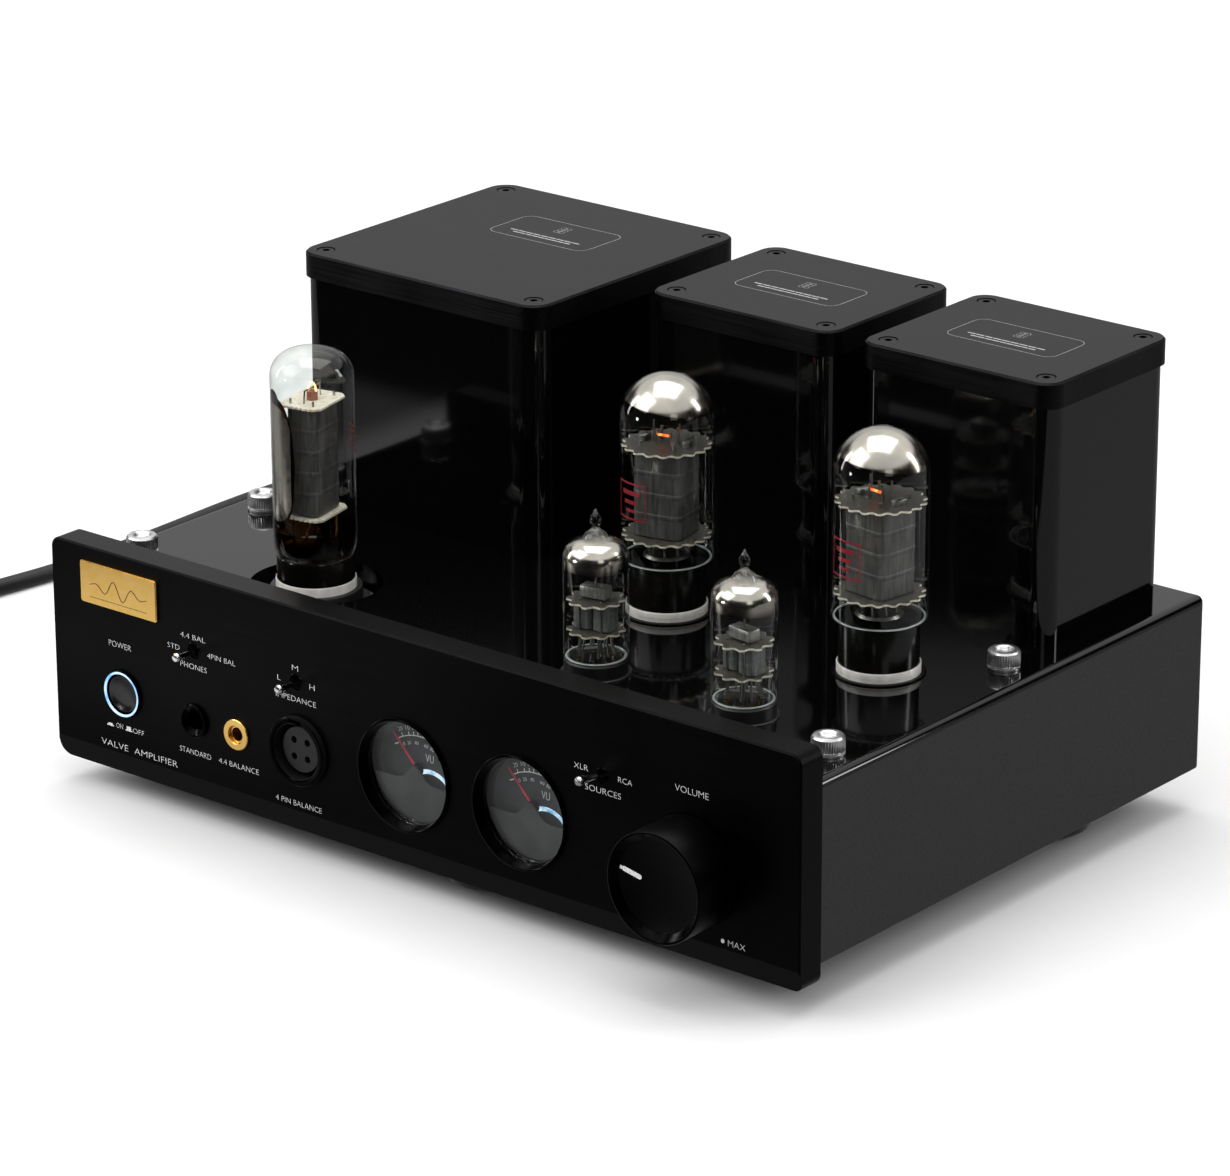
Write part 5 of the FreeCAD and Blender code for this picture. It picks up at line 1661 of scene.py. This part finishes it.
@dataclass
class VuMeter:
    """A round meter: bezel, dial print, mask, a painted glow of lamp light on the dial, and
    pointer.
    """

    side: str
    rest: float = -43.0                # degrees from upright, as the record's rest pose
    reach: float = 15.4                # mm, pivot to tip
    # the scale's own centre, from the pivot to the right and up, and its radius
    middle: Point = (0.2, -7.5)
    arc: float = 18.7
    start: float = -29.0               # degrees from upright, to the left
    end: float = 30.0
    marks: tuple[tuple[str, float], ...] = (
        ("20", -24.5), ("10", -15.3), ("7", -8.8), ("5", -3.4), ("3", 3.0), ("1", 10.5),
        ("0", 16.0), ("2", 23.0))
    lower: tuple[tuple[str, float], ...] = (("0", -26.4), ("20", -18.0), ("40", -6.6),
                                            ("60", 8.8), ("80", 18.1))

    def at(self, radius: float, degrees: float, y: float, turn: bool = False) -> Matrix:
        """A frame on the dial at a radius and an angle round the scale's centre."""
        angle = math.radians(degrees)
        x, z = self.centre
        return facing_front(x + self.middle[0] + radius * math.sin(angle), y,
                            z + self.middle[1] + radius * math.cos(angle),
                            -degrees if turn else 0.0)

    @property
    def centre(self) -> Point:
        """x and z of the pivot."""
        middle = Spot.of("meter_%s_bezel" % self.side).middle
        return middle.x, middle.z

    def bezel(self) -> None:
        """The polished ring, a little proud of the panel, and its black funnel."""
        x, z = self.centre
        face = Spot.of("front_panel").low.y
        ring = Shape()
        ring.lathe([(17.9, -24.0), (19.2, -24.0), (19.2, 0.02), (20.0, 0.02), (20.0, 0.55),
                    (19.85, 0.9), (19.5, 1.1), (19.15, 1.1), (18.95, 0.95), (17.95, -2.1),
                    (17.9, -2.35)], (x, face, z), Axis.FRONT, 128, ring=True)
        ring.finish("meter_%s_ring" % self.side, [BEZEL], "chassis", "bezel",
                    ["meter_%s_bezel" % self.side])

    def scale(self, face: float) -> None:
        """Arc, ticks, numbers and the unit."""
        x, z = self.centre
        ink = Shape()
        y = face - 0.02
        angle = self.start
        while angle < self.end:
            ink.plate([(-0.5, -0.16), (0.5, -0.16), (0.5, 0.16), (-0.5, 0.16)], 0.03,
                      self.at(self.arc, angle, y, True))
            angle += 2.6
        for text, degrees in self.marks:
            ink.plate([(-0.15, 0.0), (0.15, 0.0), (0.15, 1.3), (-0.15, 1.3)], 0.03,
                      self.at(self.arc, degrees, y, True))
            ink.words(text, 0.95 * len(text), 1.5, self.at(self.arc + 2.7, degrees, y, True))
        for text, degrees in self.lower:
            ink.words(text, 0.85 * len(text), 1.2, self.at(self.arc - 2.5, degrees, y, True))
        ink.words("VU", 3.4, 2.7, facing_front(x + 4.1, y, z + 4.4))
        ink.plate([(-0.9, -0.16), (0.9, -0.16), (0.9, 0.16), (-0.9, 0.16)], 0.03,
                  facing_front(x - 10.3, y, z + 6.4, 25.0))
        ink.finish("meter_%s_scale" % self.side, [DIAL_INK], "chassis", "dial")

    def mask(self, face: float) -> None:
        """The grey cover over the lower half, with its hump, and behind it a glowing crescent on
        the dial, painted light from the meter's hidden lamp.
        """
        x, z = self.centre
        reach, steps = 17.8, 36
        first, last = math.radians(193.0), math.radians(347.0)
        dots = [(reach * math.cos(first + (last - first) * k / steps),
                 reach * math.sin(first + (last - first) * k / steps)) for k in range(steps + 1)]
        for k in range(steps + 1):
            u = dots[steps][0] * (1.0 - 2.0 * (k + 0.5) / (steps + 1))
            dots.append((u, -4.1 + 5.6 * math.exp(-((u + 0.3) / 4.0) ** 2)))
        cover = Shape()
        cover.plate(dots, 0.5, facing_front(x, face - 2.3, z))
        cover.finish("meter_%s_mask" % self.side, [MASK], "chassis", "dial")
        # painted light: a glowing crescent on the dial stands in for the pool of the hidden lamp's
        # light
        lens = Shape()
        outer = [(4.6 + 8.2 * math.cos(math.radians(a)), -5.4 + 5.9 * math.sin(math.radians(a)))
                 for a in range(0, 171, 10)]
        inner = [(5.0 + 7.3 * math.cos(math.radians(a)), -6.3 + 5.4 * math.sin(math.radians(a)))
                 for a in range(170, -1, -10)]
        lens.plate(outer + inner, 0.3, facing_front(x, face - 0.05, z))
        lens.finish("meter_%s_painted_lamp_glow" % self.side, [DIAL_LAMP_GLOW], "chassis", "dial")

    def pointer(self) -> None:
        """The tapered needle at rest on its stop, with its hub and pivot pin."""
        node = "meter_%s_needle" % self.side
        x, z = self.centre
        y = Spot.of(node).low.y
        needle = Shape()
        needle.plate([(-0.42, 0.0), (0.42, 0.0), (0.15, self.reach), (-0.15, self.reach)], 0.3,
                     facing_front(x, y + 0.55, z, -self.rest))
        needle.lathe([(0, -9.0), (0.5, -9.0), (0.5, -0.9), (2.2, -0.9), (2.2, -0.3), (1.9, 0.0),
                      (0, 0.0)], (x, y, z), Axis.FRONT, 32, slot=1)
        needle.finish("meter_%s_pointer" % self.side, [RED_PAINT, OXIDE], "needle_" + self.side,
                      "needle", [node])

    def build(self) -> None:
        """Builds one meter."""
        face = Spot.of("meter_dials").low.y
        self.bezel()
        self.scale(face)
        self.mask(face)
        self.pointer()


@dataclass
class VolumeKnob:
    """The dished knob with its inlaid index, which stands a little above level at rest."""

    index: float = math.radians(11.0)
    gap: float = 0.7                   # between the knob's back and the panel

    def build(self) -> None:
        """Builds the turned body, the polished rim and the index line."""
        spot = Spot.of("volume_knob")
        x, z, front = spot.middle.x, spot.middle.z, spot.low.y
        radius, back = spot.size.x / 2.0, Spot.of("front_panel").low.y - self.gap
        length = back - front
        turned = TurnedAluminium("turned_black_anodised_knob", centre=(x, z))
        body = Shape()
        body.lathe([(0, -spot.size.y), (3.0, -spot.size.y), (3.0, -length), (radius - 0.4, -length),
                    (radius, -length + 0.4), (radius, -0.5), (radius - 0.15, -0.2),
                    (18.4, 0.0)], (x, front, z), Axis.FRONT, 128)
        body.lathe([(18.4, 0.0), (18.0, 0.0), (17.8, -0.12), (15.8, -2.2), (15.6, -2.3)],
                   (x, front, z), Axis.FRONT, 128, slot=1)
        body.lathe([(15.6, -2.3), (0, -2.3)], (x, front, z), Axis.FRONT, 128)
        bmesh.ops.remove_doubles(body.mesh, verts=body.mesh.verts[:], dist=1e-3)
        bmesh.ops.recalc_face_normals(body.mesh, faces=body.mesh.faces[:])
        body.finish("dished_knob", [turned, BEZEL], "knob", "knob", ["volume_knob"])
        index = Shape()
        bar = rounded_outline(8.0, 1.7, 0.8)
        for reach, mark in ((10.5, bar), (15.0, rounded_outline(0.9, 1.3, 0.3))):
            index.plate(mark, 0.06, facing_front(x - reach * math.cos(self.index),
                                                 front + 2.28, z + reach * math.sin(self.index),
                                                 -math.degrees(self.index)))
        index.finish("knob_index", [INK], "knob", "knob")


@dataclass
class Jacks:
    """The three headphone outlets."""

    def build(self) -> None:
        """Builds the jacks' rings and sleeves, and the round socket's trim."""
        face = Spot.of("front_panel").low.y
        spot = Spot.of("headphone_jack")
        x, z, back = spot.middle.x, spot.middle.z, spot.high.y
        jack = Shape()
        jack.lathe([(3.25, face - back), (8.0, face - back), (8.0, -11.0), (5.6, -11.0),
                    (5.6, 0.0), (6.0, 0.0), (6.0, 1.0), (5.6, 1.4), (5.0, 1.45), (4.6, 1.2),
                    (3.5, 0.2), (3.25, 0.0)], (x, face, z), Axis.FRONT, 72, ring=True)
        jack.finish("threaded_headphone_jack", [BEZEL], "chassis", "black_plastic",
                    ["headphone_jack"])
        spot = Spot.of("balanced_jack")
        x, z, back = spot.middle.x, spot.middle.z, spot.high.y
        mini = Shape()
        mini.lathe([(2.4, face - back), (6.0, face - back), (6.0, -11.0), (4.8, -11.0),
                    (4.8, 0.0), (5.5, 0.0), (5.5, 0.7), (5.25, 0.98), (3.4, 0.98), (3.25, 0.8),
                    (3.2, -0.3), (2.9, -0.35), (2.85, -0.1), (2.45, -0.1), (2.4, -0.5)],
                   (x, face, z), Axis.FRONT, 72, ring=True)
        mini.finish("gold_balanced_jack", [GOLD], "chassis", "gold_plate", ["balanced_jack"])
        spot = Spot.of("xlr_socket")
        x, z, front = spot.middle.x, spot.middle.z, spot.low.y
        trim = Shape()
        trim.lathe([(10.0, 0.02), (12.15, 0.02), (12.15, 0.12), (11.9, 0.3), (10.4, 0.3),
                    (10.0, 0.12)], (x, front, z), Axis.FRONT, 72, ring=True)
        trim.block((x - 3.0, front - 0.3, z + 9.4), (x + 3.0, front + 1.2, z + 11.6), 0.3)
        trim.finish("round_socket_trim", [BEZEL], "chassis", "black_plastic")


# ================================================================ rear
@dataclass
class RearDetails:
    """Inserts and contacts of the rear sockets, and generic printing."""

    level: float = 44.0                # height of every socket's middle
    phono: Point = (30.0, 52.0)        # places along X
    receptacles: Point = (88.0, 122.0)
    post: float = 6.0

    def build(self) -> None:
        """Builds the phono inserts, receptacle trims and their screw heads, a post's ring and
        words.
        """
        back = Spot.of("rear_panel").high.y
        parts = Shape()
        for slot, x in enumerate(self.phono, start=1):
            parts.lathe([(0.9, 0.0), (1.55, 0.0), (1.55, 11.4), (0.9, 11.4)], (x, back, self.level),
                        Axis.BACK, 24, ring=True)
            parts.lathe([(4.25, 0.6), (6.1, 0.6), (6.1, 1.6), (5.6, 2.1), (4.25, 2.2)],
                        (x, back, self.level), Axis.BACK, 40, ring=True, slot=slot)
        for x in self.receptacles:
            parts.lathe([(11.9, 1.82), (12.2, 1.82), (12.2, 2.0), (11.9, 2.1)],
                        (x, back, self.level), Axis.BACK, 48, ring=True, slot=3)
            for sx, sz in ((-1, 1), (1, -1)):
                parts.lathe([(0, 0), (2.0, 0), (1.9, 0.6), (1.2, 1.0), (0, 1.1)],
                            (x + sx * 11.0, back, self.level + sz * 13.5), Axis.BACK, 24, slot=3)
        parts.lathe([(3.4, 0), (5.0, 0), (5.0, 2.9), (3.4, 2.9)], (self.post, back, self.level),
                    Axis.BACK, 32, ring=True, slot=3)
        parts.finish("rear_socket_inserts", [INK, RED_PAINT, INK, OXIDE], "chassis",
                     "black_plastic")
        words = Shape()
        flip = Matrix.Rotation(math.pi, 4, "Z")
        for text, x, z, width in (("RCA", 41.0, 57.0, 7.0), ("R", 52.0, 33.0, 1.6),
                                  ("L", 30.0, 33.0, 1.4), ("XLR  L", 88.0, 61.0, 9.0),
                                  ("XLR  R", 122.0, 61.0, 9.0), ("GND", 6.0, 57.0, 6.0),
                                  ("INPUT", 76.0, 67.0, 12.0), ("AC IN", -118.0, 63.0, 10.0)):
            place = Matrix.Translation((x, back + 0.005, z)) @ flip @ facing_front(0, 0, 0)
            words.words(text, width, 2.2, place)
        words.finish("rear_print", [INK], "chassis", "chassis")


# ================================================================ the amplifier
def main() -> None:
    """Builds the amplifier's looks in order."""
    logging.basicConfig(level=logging.INFO, format="%(name)s %(message)s")
    ProductCamera().build()
    MainsLead().build()
    Studio().build()
    Chassis().build()
    PanelPrint().build()
    CapPrint("power_cap", 44.0, 24.0, (2.3, 17.0)).build()
    CapPrint("output_left_cap", 44.0, 22.0).build()
    CapPrint("output_right_cap", 44.0, 22.0).build()
    Sockets().build()
    RectifierValve("rectifier", Bulb.RECTIFIER, 12.0).build()
    for side, turn in (("left", 11.4), ("right", -7.6)):
        PowerValve("power_valve_" + side, Bulb.POWER, turn).build()
        DriverValve("driver_valve_" + side, Bulb.DRIVER, turn).build()
        VuMeter(side).build()
    PowerSwitch().build()
    Toggle("phones", -95.9, 63.4).build()
    Toggle("impedance", -49.2, 63.3).build()
    Toggle("source", 83.0, 63.3, tilt=-15.0).build()
    VolumeKnob().build()
    Jacks().build()
    RearDetails().build()


if __name__ == "__main__":
    main()
